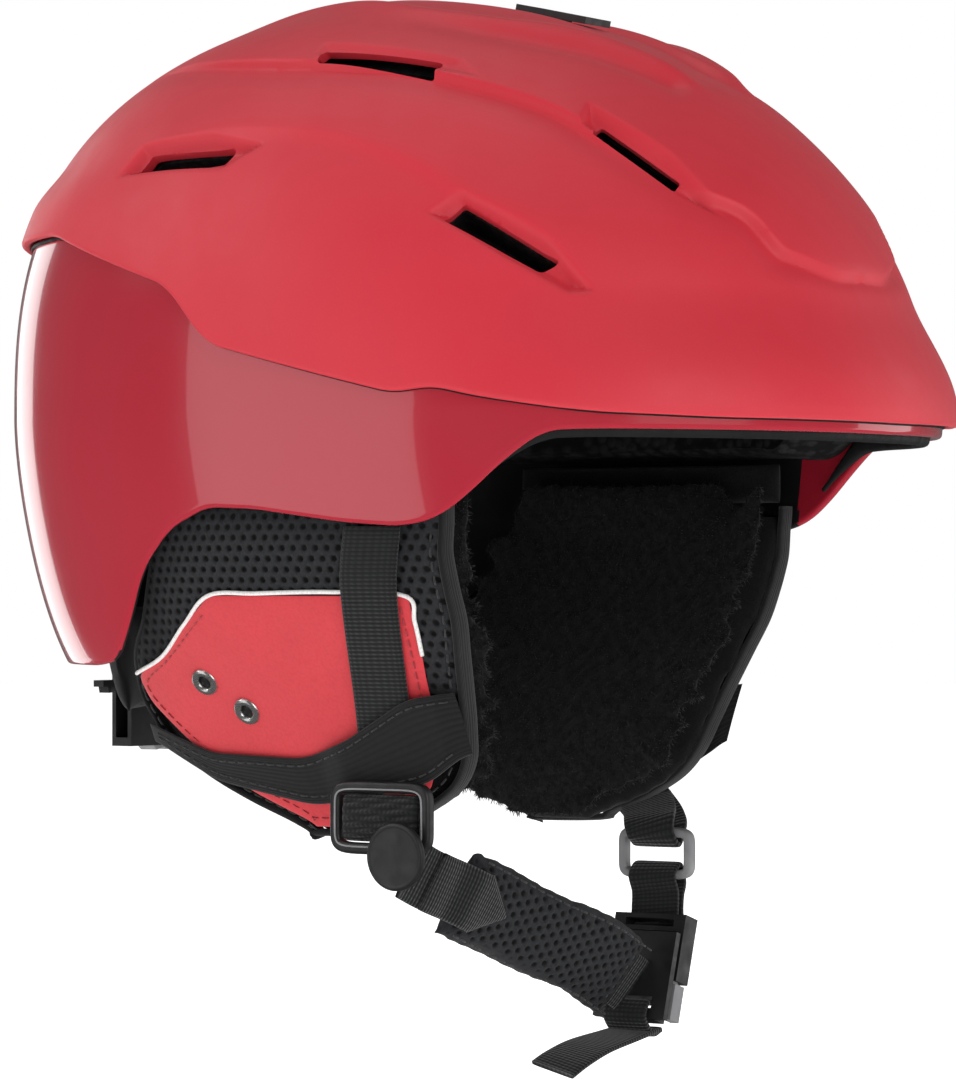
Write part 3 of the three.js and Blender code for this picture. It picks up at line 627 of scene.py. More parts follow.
def pillow_uv(piece, u, v):
    """The same texture coordinates on a pillow's face and back, from grids in millimetres."""
    grids = np.broadcast_arrays(u, v)
    measure_uv(piece, *(np.concatenate([w.ravel(), w[1:-1, 1:-1].ravel()]) for w in grids))


def mirrored(piece, name):
    """A copy on the other side of the middle plane."""
    mesh = piece.data.copy()
    twin = bpy.data.objects.new(name, mesh)
    bpy.context.scene.collection.objects.link(twin)
    set_coordinates(twin, coordinates(twin) * np.array([-1, 1, 1]))
    mesh.flip_normals()
    mesh.shade_smooth()
    return twin


def settle(piece, look, *nodes, body=None, slot=None):
    """Gives a piece its finish and the body that it rides on, and hides the CAD nodes that it stands
    for.
    """
    piece.data.materials.clear()
    piece.data.materials.append(LOOKS[look])
    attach(piece, body or body_of(frame["nodes"][nodes[0]])[0])
    if nodes:
        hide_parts(*nodes)
    return piece


def add(name, shape, look, *nodes, body=None, slot=None):
    """A closed shape as a finished piece."""
    piece = new_object(name, shape)
    face_out(piece)
    return settle(piece, look, *nodes, body=body, slot=slot)


def sew(name, path, facing, look, body, slot, *sizes):
    """A row of stitches along a path. facing is one direction, or one for each point."""
    normals = np.broadcast_to(np.asarray(facing, float), path.shape)
    settle(new_object(name, stitches(path, normals, *sizes)), look, body=body, slot=slot)


def padded_pair(pad, stem, look):
    """A padded piece on the right, and its copy on the left."""
    twin = mirrored(pad, stem + "_left_cloth")
    for piece, word in ((pad, "right"), (twin, "left")):
        settle(piece, look, f"{stem}_{word}")


# ---- materials ----
def srgb(*color):
    """A screen colour from 0 to 255 as the light it stands for."""
    shares = [c / 255 for c in color]
    return (*(c / 12.92 if c < 0.0404 else ((c + 0.055) / 1.055) ** 2.4 for c in shares), 1)


class Look:
    """A Principled material and short ways to add nodes to it."""

    def __init__(self, name, color, rough, **sockets):
        self.name = name
        self.material = bpy.data.materials.new(name + "_finish")
        self.material.use_nodes = True
        self.nodes = self.material.node_tree.nodes
        self.links = self.material.node_tree.links
        self.shader = self.nodes["Principled BSDF"]
        self.shader.inputs["Base Color"].default_value = color
        self.shader.inputs["Roughness"].default_value = rough
        for socket, value in sockets.items():
            self.shader.inputs[socket.replace("_", " ")].default_value = value
        self.color = color
        self.where = self.nodes.new("ShaderNodeTexCoord")
        self.last_normal = None

    def node(self, kind, _links=None, **values):
        made = self.nodes.new("ShaderNode" + kind)
        for name, value in values.items():
            setattr(made, name, value)
        for socket, source in (_links or {}).items():
            target = made.inputs[socket]
            if hasattr(source, "is_output"):
                self.links.new(source, target)
            else:
                target.default_value = source
        return made

    def place(self, stretch=(1, 1, 1), source="Object"):
        """Texture coordinates in metres, stretched."""
        mapping = self.node("Mapping", {"Vector": self.where.outputs[source], "Scale": stretch})
        return mapping.outputs["Vector"]

    def noise(self, size, detail=3, stretch=(1, 1, 1), source="Object"):
        """Noise whose lumps are about size millimetres wide."""
        wanted = {"Vector": self.place(stretch, source), "Scale": 1000 / size, "Detail": detail}
        return self.node("TexNoise", wanted).outputs["Fac"]

    def cells(self, size, feature="F1", stretch=(1, 1, 1), source="Object"):
        wanted = {"Vector": self.place(stretch, source), "Scale": 1000 / size}
        return self.node("TexVoronoi", wanted, feature=feature).outputs["Distance"]

    def waves(self, size, direction="X", source="UV", distortion=0.0):
        """Ribs size millimetres apart."""
        scale = 1000 / size / WAVES_PER_UNIT
        wanted = {"Vector": self.place(source=source), "Scale": scale, "Distortion": distortion}
        return self.node("TexWave", wanted, bands_direction=direction).outputs["Fac"]

    def math(self, operation, a, b=0.5):
        return self.node("Math", {0: a, 1: b}, operation=operation).outputs[0]

    def ramp(self, value, low, high, to_low=0.0, to_high=1.0):
        wanted = {"Value": value, "From Min": low, "From Max": high, "To Min": to_low, "To Max": to_high}
        return self.node("MapRange", wanted).outputs["Result"]

    def tint(self, factor, color):
        """Mixes another colour in by the factor."""
        mix = self.node("Mix", {0: factor, 6: self.color, 7: color}, data_type="RGBA")
        self.color = mix.outputs[2]
        self.links.new(self.color, self.shader.inputs["Base Color"])
        return self

    def mottle(self, noise, low, high, most, color):
        """Mixes a colour in by up to most, where noise of a size and detail rises from low to high."""
        return self.tint(self.ramp(self.noise(*noise), low, high, 0, most), color)

    def rough(self, value, low, high, to_low, to_high):
        self.links.new(self.ramp(value, low, high, to_low, to_high), self.shader.inputs["Roughness"])
        return self

    def uneven(self, noise, least, most):
        """Roughness that drifts between two values."""
        return self.rough(self.noise(*noise), 0.3, 0.7, least, most)

    def bump(self, height, depth, strength=1.0):
        """Raises the surface by depth millimetres where height is 1."""
        wanted = {"Height": height, "Distance": depth * MM, "Strength": strength}
        made = self.node("Bump", wanted)
        if self.last_normal is not None:
            self.links.new(self.last_normal, made.inputs["Normal"])
        self.last_normal = made.outputs["Normal"]
        self.links.new(self.last_normal, self.shader.inputs["Normal"])
        return self


def matte_shell():
    look = Look(
        "matte_shell", srgb(206, 46, 60), 0.55, Coat_Weight=0.06, Coat_Roughness=0.42,
        Specular_IOR_Level=0.35, Sheen_Weight=0.06, Sheen_Roughness=0.4,
    )
    speckle = look.noise(0.5, 2)
    look.mottle((38, 3), 0.35, 0.75, 0.3, srgb(196, 42, 55))
    look.tint(look.ramp(speckle, 0.55, 0.8, 0, 0.12), srgb(222, 88, 98))
    look.uneven((14, 4), 0.44, 0.56)
    look.bump(speckle, 0.018)
    scuff = look.noise(9, 6, (1, 1, 7))
    return look.bump(look.ramp(scuff, 0.68, 0.74), 0.012, 0.5)


def gloss_shell():
    look = Look(
        "gloss_shell", srgb(172, 32, 50), 0.2, Coat_Weight=1.0, Coat_Roughness=0.035, Coat_IOR=1.55
    )
    look.mottle((60, 2), 0.3, 0.8, 0.35, srgb(160, 28, 44))
    look.uneven((25, 4), 0.14, 0.22)
    return look.bump(look.noise(7, 2), 0.02, 0.35)


def foam():
    look = Look("foam", srgb(30, 30, 32), 0.82)
    bead = look.cells(3.2)
    look.tint(look.ramp(bead, 0.35, 0.6), srgb(12, 12, 13))
    look.uneven((4,), 0.72, 0.9)
    look.bump(look.ramp(bead, 0, 0.6, 1, 0), 0.35, 0.8)
    return look.bump(look.noise(0.7), 0.06, 0.6)


def brushed_fabric(name, light, dark, pile=0.9):
    look = Look(name, light, 0.92, Sheen_Weight=0.12, Sheen_Roughness=0.5, Specular_IOR_Level=0.2)
    look.mottle((pile, 4), 0.35, 0.65, 1, dark)
    look.mottle((16, 3), 0.4, 0.75, 0.5, dark)
    look.uneven((5,), 0.84, 0.98)
    return look.bump(look.noise(pile * 0.6, 3), 0.25, 0.8)


def spacer_mesh():
    """Knitted mesh, dark in the holes that its shape notes."""
    look = Look("spacer_mesh", srgb(38, 39, 42), 0.82, Specular_IOR_Level=0.3, Sheen_Weight=0.08)
    hole = look.node("Attribute", attribute_name="hole").outputs["Fac"]
    look.tint(look.ramp(hole, 0.15, 0.55), srgb(3, 3, 4))
    look.mottle((0.8,), 0.4, 0.7, 0.6, srgb(22, 22, 25))
    look.uneven((2,), 0.65, 0.9)
    return look.bump(look.noise(0.35, 2, (1, 1, 0.4)), 0.12, 0.9)


def leather(name, color, dark):
    """A soft coated fabric with a fine grain."""
    look = Look(name, color, 0.55, Specular_IOR_Level=0.35, Sheen_Weight=0.15)
    grain = look.cells(0.9)
    look.mottle((22, 3), 0.35, 0.75, 0.4, dark)
    look.tint(look.ramp(grain, 0.45, 0.75, 0, 0.35), dark)
    look.uneven((3,), 0.48, 0.66)
    look.bump(look.ramp(grain, 0, 0.7, 1, 0), 0.05, 0.6)
    return look.bump(look.noise(6, 2), 0.1, 0.4)


def eyelet_metal():
    look = Look("eyelet_metal", srgb(222, 222, 220), 0.22, Metallic=1.0)
    look.mottle((3, 4), 0.5, 0.75, 0.5, srgb(150, 148, 144))
    look.uneven((0.6, 4, (1, 1, 6)), 0.15, 0.38)
    return look.bump(look.noise(0.4, 3, (6, 1, 1)), 0.008, 0.6)


def webbing():
    look = Look("webbing", srgb(24, 26, 27), 0.78, Specular_IOR_Level=0.35, Sheen_Weight=0.2)
    along_it = look.waves(1.15, "Y", distortion=0.4)
    across_it = look.waves(1.5, "X")
    weave = look.math("MULTIPLY", along_it, look.ramp(across_it, 0, 1, 0.55, 1))
    look.tint(look.ramp(weave, 0.65, 0.1, 0, 0.85), srgb(10, 11, 12))
    look.mottle((12, 3), 0.4, 0.75, 0.35, srgb(16, 17, 19))
    look.rough(weave, 0, 1, 0.88, 0.58)
    look.bump(weave, 0.3, 0.9)
    return look.bump(look.noise(0.3, 2), 0.06, 0.7)


def elastic():
    look = Look("elastic", srgb(26, 25, 27), 0.84, Specular_IOR_Level=0.25, Sheen_Weight=0.15)
    rib = look.waves(0.8, "X", distortion=0.2)
    look.tint(look.ramp(rib, 0.6, 0.1, 0, 0.6), srgb(14, 14, 15))
    look.mottle((20, 3), 0.4, 0.75, 0.4, srgb(18, 18, 19))
    look.uneven((3,), 0.72, 0.9)
    return look.bump(rib, 0.1, 0.7)


def moulded(name, color, worn, rough=0.42):
    """Moulded plastic: a fine even grain, worn paler and smoother here and there."""
    look = Look(name, color, rough)
    look.mottle((7, 5), 0.52, 0.72, 0.5, worn)
    look.uneven((4, 4), rough - 0.1, rough + 0.12)
    look.bump(look.noise(0.35, 2), 0.02, 0.7)
    return look.bump(look.ramp(look.noise(2.2, 6, (1, 5, 1)), 0.7, 0.75), 0.01, 0.5)


def trim_rubber():
    look = Look("trim_rubber", srgb(26, 27, 27), 0.65)
    look.mottle((9, 4), 0.4, 0.7, 0.6, srgb(22, 23, 23))
    look.uneven((3,), 0.5, 0.72)
    return look.bump(look.noise(0.6, 3), 0.05, 0.7)


def thread(name, color, dark):
    look = Look(name, color, 0.7, Sheen_Weight=0.2)
    look.mottle((0.6, 3), 0.4, 0.7, 0.7, dark)
    look.uneven((0.5,), 0.6, 0.82)
    return look.bump(look.noise(0.25, 2), 0.05, 0.8)


MADE = [
    matte_shell(), gloss_shell(), foam(), spacer_mesh(), eyelet_metal(), webbing(), elastic(),
    trim_rubber(),
    brushed_fabric("liner_fabric", srgb(26, 26, 29), srgb(9, 9, 11)),
    brushed_fabric("pad_fabric", srgb(24, 25, 27), srgb(10, 10, 12), 0.5),
    brushed_fabric("fleece", srgb(27, 27, 30), srgb(7, 7, 8), 1.2),
    leather("red_panel", srgb(206, 50, 58), srgb(184, 40, 48)),
    moulded("black_plastic", srgb(28, 28, 30), srgb(46, 46, 48)),
    moulded("grey_plastic", srgb(128, 128, 130), srgb(160, 160, 160), 0.45),
    thread("white_piping", srgb(232, 230, 228), srgb(196, 192, 190)),
    thread("black_thread", srgb(48, 48, 50), srgb(20, 20, 21)),
    thread("red_thread", srgb(170, 40, 48), srgb(120, 24, 32)),
]
LOOKS = {look.name: look.material for look in MADE}


# ---- hard shells ----
def fold(points):
    """Points with the left side laid over the right."""
    folded = np.array(points)
    folded[..., 0] = -np.abs(folded[..., 0])
    return folded


def to_plane(points, corners):
    """Points in the plane of some corners, their distance off it, its two directions and its normal."""
    corners = np.asarray(corners, float)
    centre = corners.mean(axis=0)
    normal = np.cross(corners[2] - corners[0], corners[3] - corners[1])
    normal = unit(normal * np.sign(normal @ centre))
    u = unit(corners[-2] - corners[0])
    u = unit(u - normal * (u @ normal))
    v = np.cross(normal, u)
    flat = np.stack([(points - centre) @ u, (points - centre) @ v], axis=-1)
    return flat, (points - centre) @ normal, u, v, normal


def polygon_distance(flat, outline):
    """How far points lie outside a closed outline, negative inside."""
    best = np.full(len(flat), 1e9)
    inside = np.zeros(len(flat), bool)
    for a, b in zip(outline, np.roll(outline, -1, axis=0)):
        edge = b - a
        share = np.clip((flat - a) @ edge / (edge @ edge), 0, 1)
        best = np.minimum(best, np.linalg.norm(flat - (a + share[:, None] * edge), axis=1))
        crosses = (a[1] > flat[:, 1]) != (b[1] > flat[:, 1])
        with np.errstate(divide="ignore", invalid="ignore"):
            inside ^= crosses & (flat[:, 0] < edge[0] * (flat[:, 1] - a[1]) / edge[1] + a[0])
    return np.where(inside, -best, best)


def cut_openings(piece, openings, depth, above=12, corner=1.1):
    """Cuts openings with rounded corners through a piece, on both sides."""
    tools = []
    for corners in openings:
        for side in (-1, 1):
            shape = np.asarray(corners, float) * np.array([-side, 1, 1])
            flat, _, u, v, normal = to_plane(shape, shape)
            ring = rounded(flat, corner)
            ring = ring[:, :1] * u + ring[:, 1:] * v + shape.mean(axis=0)
            points = np.concatenate([ring - normal * depth, ring + normal * above])
            count = len(ring)
            j = np.arange(count)
            after = (j + 1) % count
            faces = np.stack([j, after, after + count, j + count], axis=1).tolist()
            faces += [list(range(count))[::-1], list(range(count, 2 * count))]
            tool = new_object(f"tool_{len(tools)}", (points, faces))
            face_out(tool, centred=True)
            cutter = piece.modifiers.new("opening", "BOOLEAN")
            cutter.operation = "DIFFERENCE"
            cutter.solver = "MANIFOLD"
            cutter.object = tool
            tools.append(tool)
    apply_modifiers(piece)
    for tool in tools:
        bpy.data.objects.remove(tool)
    piece.data.set_sharp_from_angle(angle=math.radians(40))


def rounded(flat, radius, steps=6):
    """A closed outline with its corners rounded."""
    points = []
    for before, corner, after in zip(np.roll(flat, 1, axis=0), flat, np.roll(flat, -1, axis=0)):
        back, ahead = before - corner, after - corner
        reach = min(radius, 0.45 * np.linalg.norm(back), 0.45 * np.linalg.norm(ahead))
        start, end = corner + unit(back) * reach, corner + unit(ahead) * reach
        for t in np.linspace(0, 1, steps):
            points.append((1 - t) ** 2 * start + 2 * t * (1 - t) * corner + t * t * end)
    return np.array(points)


def line_field(points, normals, line):
    """Distance from a line on the surface, positive on its left from outside, and the share along it."""
    best = np.full(len(points), 1e9)
    signed = np.full(len(points), 1e9)
    share = np.zeros(len(points))
    near_box = ((points > line.min(axis=0) - 30) & (points < line.max(axis=0) + 30)).all(axis=1)
    index = np.flatnonzero(near_box)
    for k, (a, b) in enumerate(zip(line, line[1:])):
        edge = b - a
        t = np.clip((points[index] - a) @ edge / (edge @ edge), 0, 1)
        offset = points[index] - a - t[:, None] * edge
        offset -= normals[index] * np.sum(offset * normals[index], axis=1, keepdims=True)
        distance = np.linalg.norm(offset, axis=1)
        closer = distance < best[index]
        hit = index[closer]
        side = np.sign(np.sum(np.cross(edge, offset[closer]) * normals[hit], axis=1))
        best[hit] = distance[closer]
        signed[hit] = distance[closer] * side
        share[hit] = (k + t[closer]) / (len(line) - 1)
    return signed, share


def crease_line(places):
    """A line on the shell over a smooth run of x and y."""
    flat = spline([(x, y, 0) for x, y in places], 150)
    return drop_on_shell(flat[:, 0], flat[:, 1])


def shell_relief(points, normals):
    """How far the upper shell's pressed lines and recesses stand out from its smooth form."""
    places, facing = fold(points), np.array(normals)
    facing[:, 0] = np.where(points[:, 0] > 0, -facing[:, 0], facing[:, 0])
    lift = np.zeros(len(points))

    away, share = line_field(places, facing, crease_line(PANEL_CREASE))
    fade = smoothstep(share, 0, 0.28) * smoothstep(places[:, 2], 30, 40)
    inside = np.exp(-((np.maximum(away, 0) / 20) ** 2)) * smoothstep(away, -0.7, 1.7)
    outside = np.exp(-((np.minimum(away, 0) / 6) ** 2)) * smoothstep(-away, -1.7, 0.7)
    lift += np.where(np.abs(away) < 80, 1.3 * (inside - outside), 0) * fade

    for line, height, left, right, begin, end in RIDGES:
        away, share = line_field(places, facing, crease_line(line))
        fade = smoothstep(share, 0, begin) * (1 - smoothstep(share, end, 1))
        lift += height * np.exp(-((away / np.where(away > 0, left, right)) ** 2)) * fade

    for name, (opening, recess) in VENTS.items():
        depth = 1.5 if name == "upper_rear" else 3.4
        flat, off, *_ = to_plane(places, opening)
        outline, *_ = to_plane(np.asarray(recess, float), opening)
        inside = (np.abs(flat) < np.abs(outline).max() + 2).all(axis=1)
        near = np.flatnonzero((np.abs(off) < 16) & inside)
        lift[near] -= depth * smoothstep(-polygon_distance(flat[near], outline), -0.3, 3.6)
    return lift


def cap_faces(rows, columns):
    """A cap's quads, its first ring closed by quads laid straight across it."""
    j = np.arange(columns // 2 - 1)
    pole = np.stack([j + 1, j, columns - 1 - j, columns - 2 - j], axis=1)
    return np.concatenate([grid_faces(rows, columns, wrap=True)[:, ::-1], pole])


def make_shells():
    grid = with_channel(cap_grid(UPPER_EDGE, upper_out, UPPER_ROWS, SHELL_COLUMNS))
    quads = cap_faces(UPPER_ROWS, SHELL_COLUMNS)
    points = grid.reshape(-1, 3)
    normals = vertex_normals(points, quads)
    points = points + normals * shell_relief(points, normals)[:, None]
    upper = new_object("upper_shell_skin", walled(points, quads, SHELL_WALL, 0.3))
    cut_openings(upper, [opening for opening, _ in VENTS.values()] + [SLIDER_SLOT], 9)
    settle(upper, "matte_shell", "upper_shell")

    angle = circle(SHELL_COLUMNS)[None, :]
    top = along(UPPER_EDGE, edge_angle(angle), UPPER_SOFT) + LAP
    low = along(LOWER_EDGE, edge_angle(angle), LOWER_SOFT)
    height = lerp(top, low, np.linspace(0, 1, LOWER_ROWS)[:, None])
    grid = surface(angle, height, lower_out(angle, height))
    quads = grid_faces(LOWER_ROWS, SHELL_COLUMNS, wrap=True)[:, ::-1]
    lower = new_object("lower_shell_skin", walled(grid.reshape(-1, 3), quads, SHELL_WALL, 0.5, 7))
    settle(lower, "gloss_shell", "lower_shell")
    hide_inside(lower)

    # A thin dark cord under the upper shell's edge: painted shade for the shadow in the gap between the
    # two shells.
    turn = circle(600)
    edge = along(UPPER_EDGE, edge_angle(turn), UPPER_SOFT)
    path = surface(turn, edge - 0.4, lower_out(turn, edge) + 0.1)
    add("shell_gap_shade_cord", cord_shape(path, 0.6, closed=True), "trim_rubber", body="shell")


def hide_inside(lower):
    """Paints the lower shell's inner face black, except where it shows at the temples."""
    mesh = lower.data
    mesh.materials.append(LOOKS["black_plastic"])
    count = len(mesh.polygons)
    centres, normals = np.zeros(count * 3), np.zeros(count * 3)
    mesh.polygons.foreach_get("center", centres)
    mesh.polygons.foreach_get("normal", normals)
    centres, normals = centres.reshape(-1, 3), normals.reshape(-1, 3)
    inward = np.sum(centres[:, :2] * normals[:, :2], axis=1) < 0
    temple = (centres[:, 1] < -0.05) & (centres[:, 2] < 0.004)
    mesh.polygons.foreach_set("material_index", (inward & ~temple).astype(np.int32))
    mesh.update()


# ---- inside the shells ----
def make_liner():
    grid = cap_grid(LINER_EDGE, -LINER_OUTSIDE, LINER_ROWS, LINER_COLUMNS, 1.5)
    quads = cap_faces(LINER_ROWS, LINER_COLUMNS)
    shape = walled(grid.reshape(-1, 3), quads, LINER_INSIDE - LINER_OUTSIDE, 0.08)
    liner = new_object("foam_liner_skin", shape)
    cut_openings(liner, [opening for opening, _ in VENTS.values()], 16)
    settle(liner, "foam", "foam_liner")


def liner_patch(angles, heights, columns):
    """A pad's two faces on the liner's inside."""
    angle = np.radians(lerp(*angles, spread(columns)))[None, :]
    height = lerp(*heights, spread(14))[:, None]
    out = -LINER_INSIDE - 1.6
    return pillow(surface(angle, height, out), surface(angle, height, out - 4.4), 6)


def make_comfort_pads():
    for name, angles, heights, columns in (
        ("brow_pad", (-51, 51), (2.5, 23.5), 60),
        ("side_pad_right", (73, 111), (5, 43), 24),
        ("rear_pad", (149, 211), (-33, 29), 40),
    ):
        pad = puff(new_object(name + "_cloth", liner_patch(angles, heights, columns)), 2.5)
        if name == "side_pad_right":
            padded_pair(pad, "side_pad", "liner_fabric")
        else:
            settle(pad, "liner_fabric", name)

    y = lerp(-56, 60, spread(30))[:, None]
    x = lerp(-23.3, -4.7, spread(10))[None, :]
    z = SHELL_HEIGHT - LINER_INSIDE - 9 - (y - CROWN_SHIFT) ** 2 / 190
    outer = np.stack(np.broadcast_arrays(x, y, z), axis=-1)
    shape = pillow(outer, outer - np.array([0, 0, 4.2]), 6)
    pad = puff(new_object("crown_pad_right_cloth", shape), 2, 3.5)
    padded_pair(pad, "crown_pad", "liner_fabric")


def make_brim_trim():
    angle = np.radians(np.linspace(-56, 56, 90))
    edge = along(LOWER_EDGE, edge_angle(angle), LOWER_SOFT)
    share = np.linspace(0, 1, 90)
    taper = 0.25 + 0.75 * np.minimum(smoothstep(share, 0, 0.08), smoothstep(1 - share, 0, 0.08))
    path = surface(angle, edge - 0.6, lower_out(angle, edge) - SHELL_WALL - 2.6)
    across, normal = frames_along(path, [0, 0, 1], [0, 0, 1])
    shape = sweep(path, across, normal, oval(5.4, 3.8, 16, 2.6), taper=taper)
    settle(new_object("brim_trim_lip", shape), "trim_rubber", "brim_trim")


def make_nape_pad():
    angle = np.radians(lerp(149, 211, spread(46)))[None, :]
    row = spread(18)[:, None]
    swell = 8 * smoothstep(np.abs(np.degrees(angle) - 180), 13, 20)
    sheets = []
    for depth in (0.6, 8.6):
        sheet = surface(angle, -60, swell - 20 - 6 * row - depth)
        sheet[..., 2] = lerp(-49.5, -86.5, row)
        sheets.append(sheet)
    pad = puff(new_object("nape_pad_roll", pillow(*sheets, 3)), 2.4)
    settle(pad, "pad_fabric", "nape_pad")


# ---- ear pads ----
# side is -1 on the wearer's right and 1 on the left.
def ear_x(y, z):
    """How far the pad's outer face stands from the middle plane."""
    curve = (1 - (np.abs(y - 2) / 125) ** 2.4) ** (1 / 2.4)
    below = np.maximum(-25 - z, 0)
    return EAR_WIDTH * curve - 46 * (1 - np.exp(-((below / 62) ** 1.9)))


def ear_point(side, y, z, out):
    y, z, out = np.broadcast_arrays(*(np.asarray(v, float) for v in (y, z, out)))
    return np.stack([side * (ear_x(y, z) + out), y, z], axis=-1)


def clear_of_shell(y, z):
    """0 right under the lower shell's edge, where the pad flexes against it, and 1 well below it."""
    angle = np.arctan2(ear_x(y, z), -np.asarray(y))
    return smoothstep(along(LOWER_EDGE, edge_angle(angle)) - z, 1, 12)


def outline_grid(outline, margin, rows, columns, top=None, soft=3.5):
    """y and z over an outline given by rows of height, front edge and rear edge."""
    first = outline[0][0] if top is None else top
    z = lerp(first, outline[-1][0] + margin, rows)[:, None]
    front = along([(-h, f) for h, f, _ in outline], -z, soft) + margin
    rear = along([(-h, r) for h, _, r in outline], -z, soft) - margin
    return lerp(front, rear, columns[None, :]), z + 0 * columns[None, :]


def outline_loop(outline, margin, count=260, top=None):
    """y and z inside an outline by a margin, from its top front corner round to its top rear one."""
    y, z = outline_grid(outline, 0, spread(60), np.array([0.0, 1.0]), top)
    front = np.stack([y[:, 0], z[:, 0], 0 * z[:, 0]], axis=1)
    rear = np.stack([y[::-1, 1], z[::-1, 1], 0 * z[:, 0]], axis=1)
    flat = spline(np.concatenate([front, rear])[::4], count)
    step = np.gradient(flat, axis=0)
    inward = unit(np.stack([-step[:, 1], step[:, 0]], axis=1))
    return (flat[:, :2] + inward * margin).T


def make_ear_pads():
    share = spread(26)
    y, z = outline_grid(EAR_ROWS, 0.6, share, share)
    core = pillow(ear_point(-1, y, z, -3), ear_point(-1, y, z, -EAR_PAD_THICK + 1.4), 10)
    pad = puff(new_object("ear_pad_right_cloth", core), 1.0, 3.0)
    padded_pair(pad, "ear_pad", "pad_fabric")

    y, z = outline_grid(EAR_ROWS, -0.8, share, share, top=FLEECE_TOP)
    face = -EAR_PAD_THICK - 1.8
    core = pillow(ear_point(-1, y, z, face), ear_point(-1, y, z, face - FLEECE_THICK + 1.6), 5)
    fleece = puff(new_object("ear_fleece_right_cloth", core), 1.8, 4.0, levels=2)
    emboss(fleece, fleece_lumps)
    pile = new_object("ear_pile_right", pile_shape(fleece))
    padded_pair(fleece, "ear_fleece", "fleece")
    for tufts, word in ((mirrored(pile, "ear_pile_left"), "left"), (pile, "right")):
        settle(tufts, "fleece", body="ear_flap_" + word)


def fleece_lumps(points):
    """The uneven nap of fleece, in millimetres."""
    x, y, z = points.T
    wide = np.sin(y * 0.9 + 1.3 * np.sin(z * 0.35)) * np.sin(z * 0.8 + 1.1 * np.sin(y * 0.41))
    fine = np.sin(y * 2.3 + z * 0.9 + x) * np.sin(z * 2.1 - y * 0.7)
    return 0.35 * wide + 0.18 * fine


def pile_shape(fleece, count=16000):
    """Short tufts standing on the fleece, thickest at its rim."""
    points, normals = coordinates(fleece) / MM, normals_of(fleece)
    chance = np.random.default_rng(7)
    weight = 1 + 0.8 * (1 - np.abs(normals[:, 0]))
    chosen = chance.choice(len(points), count, p=weight / weight.sum())
    root = points[chosen]
    lean = chance.normal(0, 0.55, (count, 3))
    up = unit(normals[chosen] + lean + np.array([0, -0.15, -0.45]))
    side = unit(np.cross(up, chance.normal(0, 1, (count, 3))))
    other = np.cross(up, side)
    length = chance.uniform(0.9, 2.3, (count, 1))
    base = chance.uniform(0.1, 0.2, (count, 1))
    foot = root - up * 0.4
    corners = [foot + base * (side * math.cos(t) + other * math.sin(t)) for t in (0, 2.1, 4.2)]
    shape = np.stack([*corners, root + up * length], axis=1).reshape(-1, 3)
    start = np.arange(count)[:, None] * 4
    faces = np.concatenate([start + f for f in ([0, 1, 3], [1, 2, 3], [2, 0, 3], [2, 1, 0])])
    return shape, faces


def make_spacer_field(side, word):
    """The open knitted mesh on the pad's outer face, above the panel."""
    rows, columns = np.linspace(0, 1, MESH_ROWS), np.linspace(0, 1, MESH_COLUMNS)
    outline = [row for row in EAR_ROWS if row[0] >= -80]
    y, z = outline_grid(outline, 2.4, rows, columns, top=-25)
    from_top, from_side = np.minimum(rows, 1 - rows) * 54, np.minimum(columns, 1 - columns) * 110
    border = np.minimum(from_top[:, None], from_side[None, :])
    hole = hexagons(z, y * 0.92, MESH_PITCH)
    lift = 1.2 * smoothstep(border, 0, 4) - 0.4 - 0.8 * smoothstep(hole, 0.05, 0.75)
    lift = lerp(lift * 0.6 - 1.2, lift, clear_of_shell(y, z))
    points = ear_point(side, y, z, lift).reshape(-1, 3)
    backing = ear_point(side, y, z, lift - 1.2).reshape(-1, 3)
    shape = closed_sheet(points, backing, MESH_ROWS, MESH_COLUMNS)
    piece = add("ear_mesh_" + word, shape, "spacer_mesh", body="ear_flap_" + word, slot="pad_fabric")
    note(piece, "hole", np.concatenate([hole.ravel(), np.zeros(len(points))]))


def closed_sheet(face, back, rows, columns):
    """A closed slab between two grids of points."""
    quads = grid_faces(rows, columns)
    count = rows * columns
    rim = np.concatenate([
        np.arange(columns), np.arange(1, rows) * columns + columns - 1,
        count - 2 - np.arange(columns - 1), np.arange(rows - 2, 0, -1) * columns,
    ])
    after = np.roll(rim, -1)
    sides = np.stack([after, after + count, rim + count, rim], axis=1)
    return np.concatenate([face, back]), np.concatenate([quads, quads[:, ::-1] + count, sides])


def make_bindings(side, word):
    """The folded tape sewn round the pad's rim, with its stitching."""
    body = "ear_flap_" + word
    y, z = outline_loop(EAR_ROWS, 2.2)
    path = ear_point(side, y, z, lerp(-4.8, -3, clear_of_shell(y, z)))
    across, normal = frames_along(path, [1, 0, 0], [1, 0, 0])
    shape = sweep(path, across, normal, oval(6.4, 2.0, BINDING_SIDES, 3))
    tape = add("ear_binding_" + word, shape, "elastic", body=body, slot="pad_fabric")
    turn = np.tile(np.linspace(0, BINDING_SIDES, BINDING_SIDES), len(path))
    measure_uv(tape, turn, np.repeat(np.arange(len(path)) * 1.4, BINDING_SIDES))

    y, z = outline_loop(EAR_ROWS, 4.4, 200)
    path = ear_point(side, y, z, lerp(-1.6, 0.35, clear_of_shell(y, z)))
    sew("ear_seam_" + word, path, [side, 0, -0.3], "black_thread", body, "pad_fabric", 2.6, 1.4, 0.28)


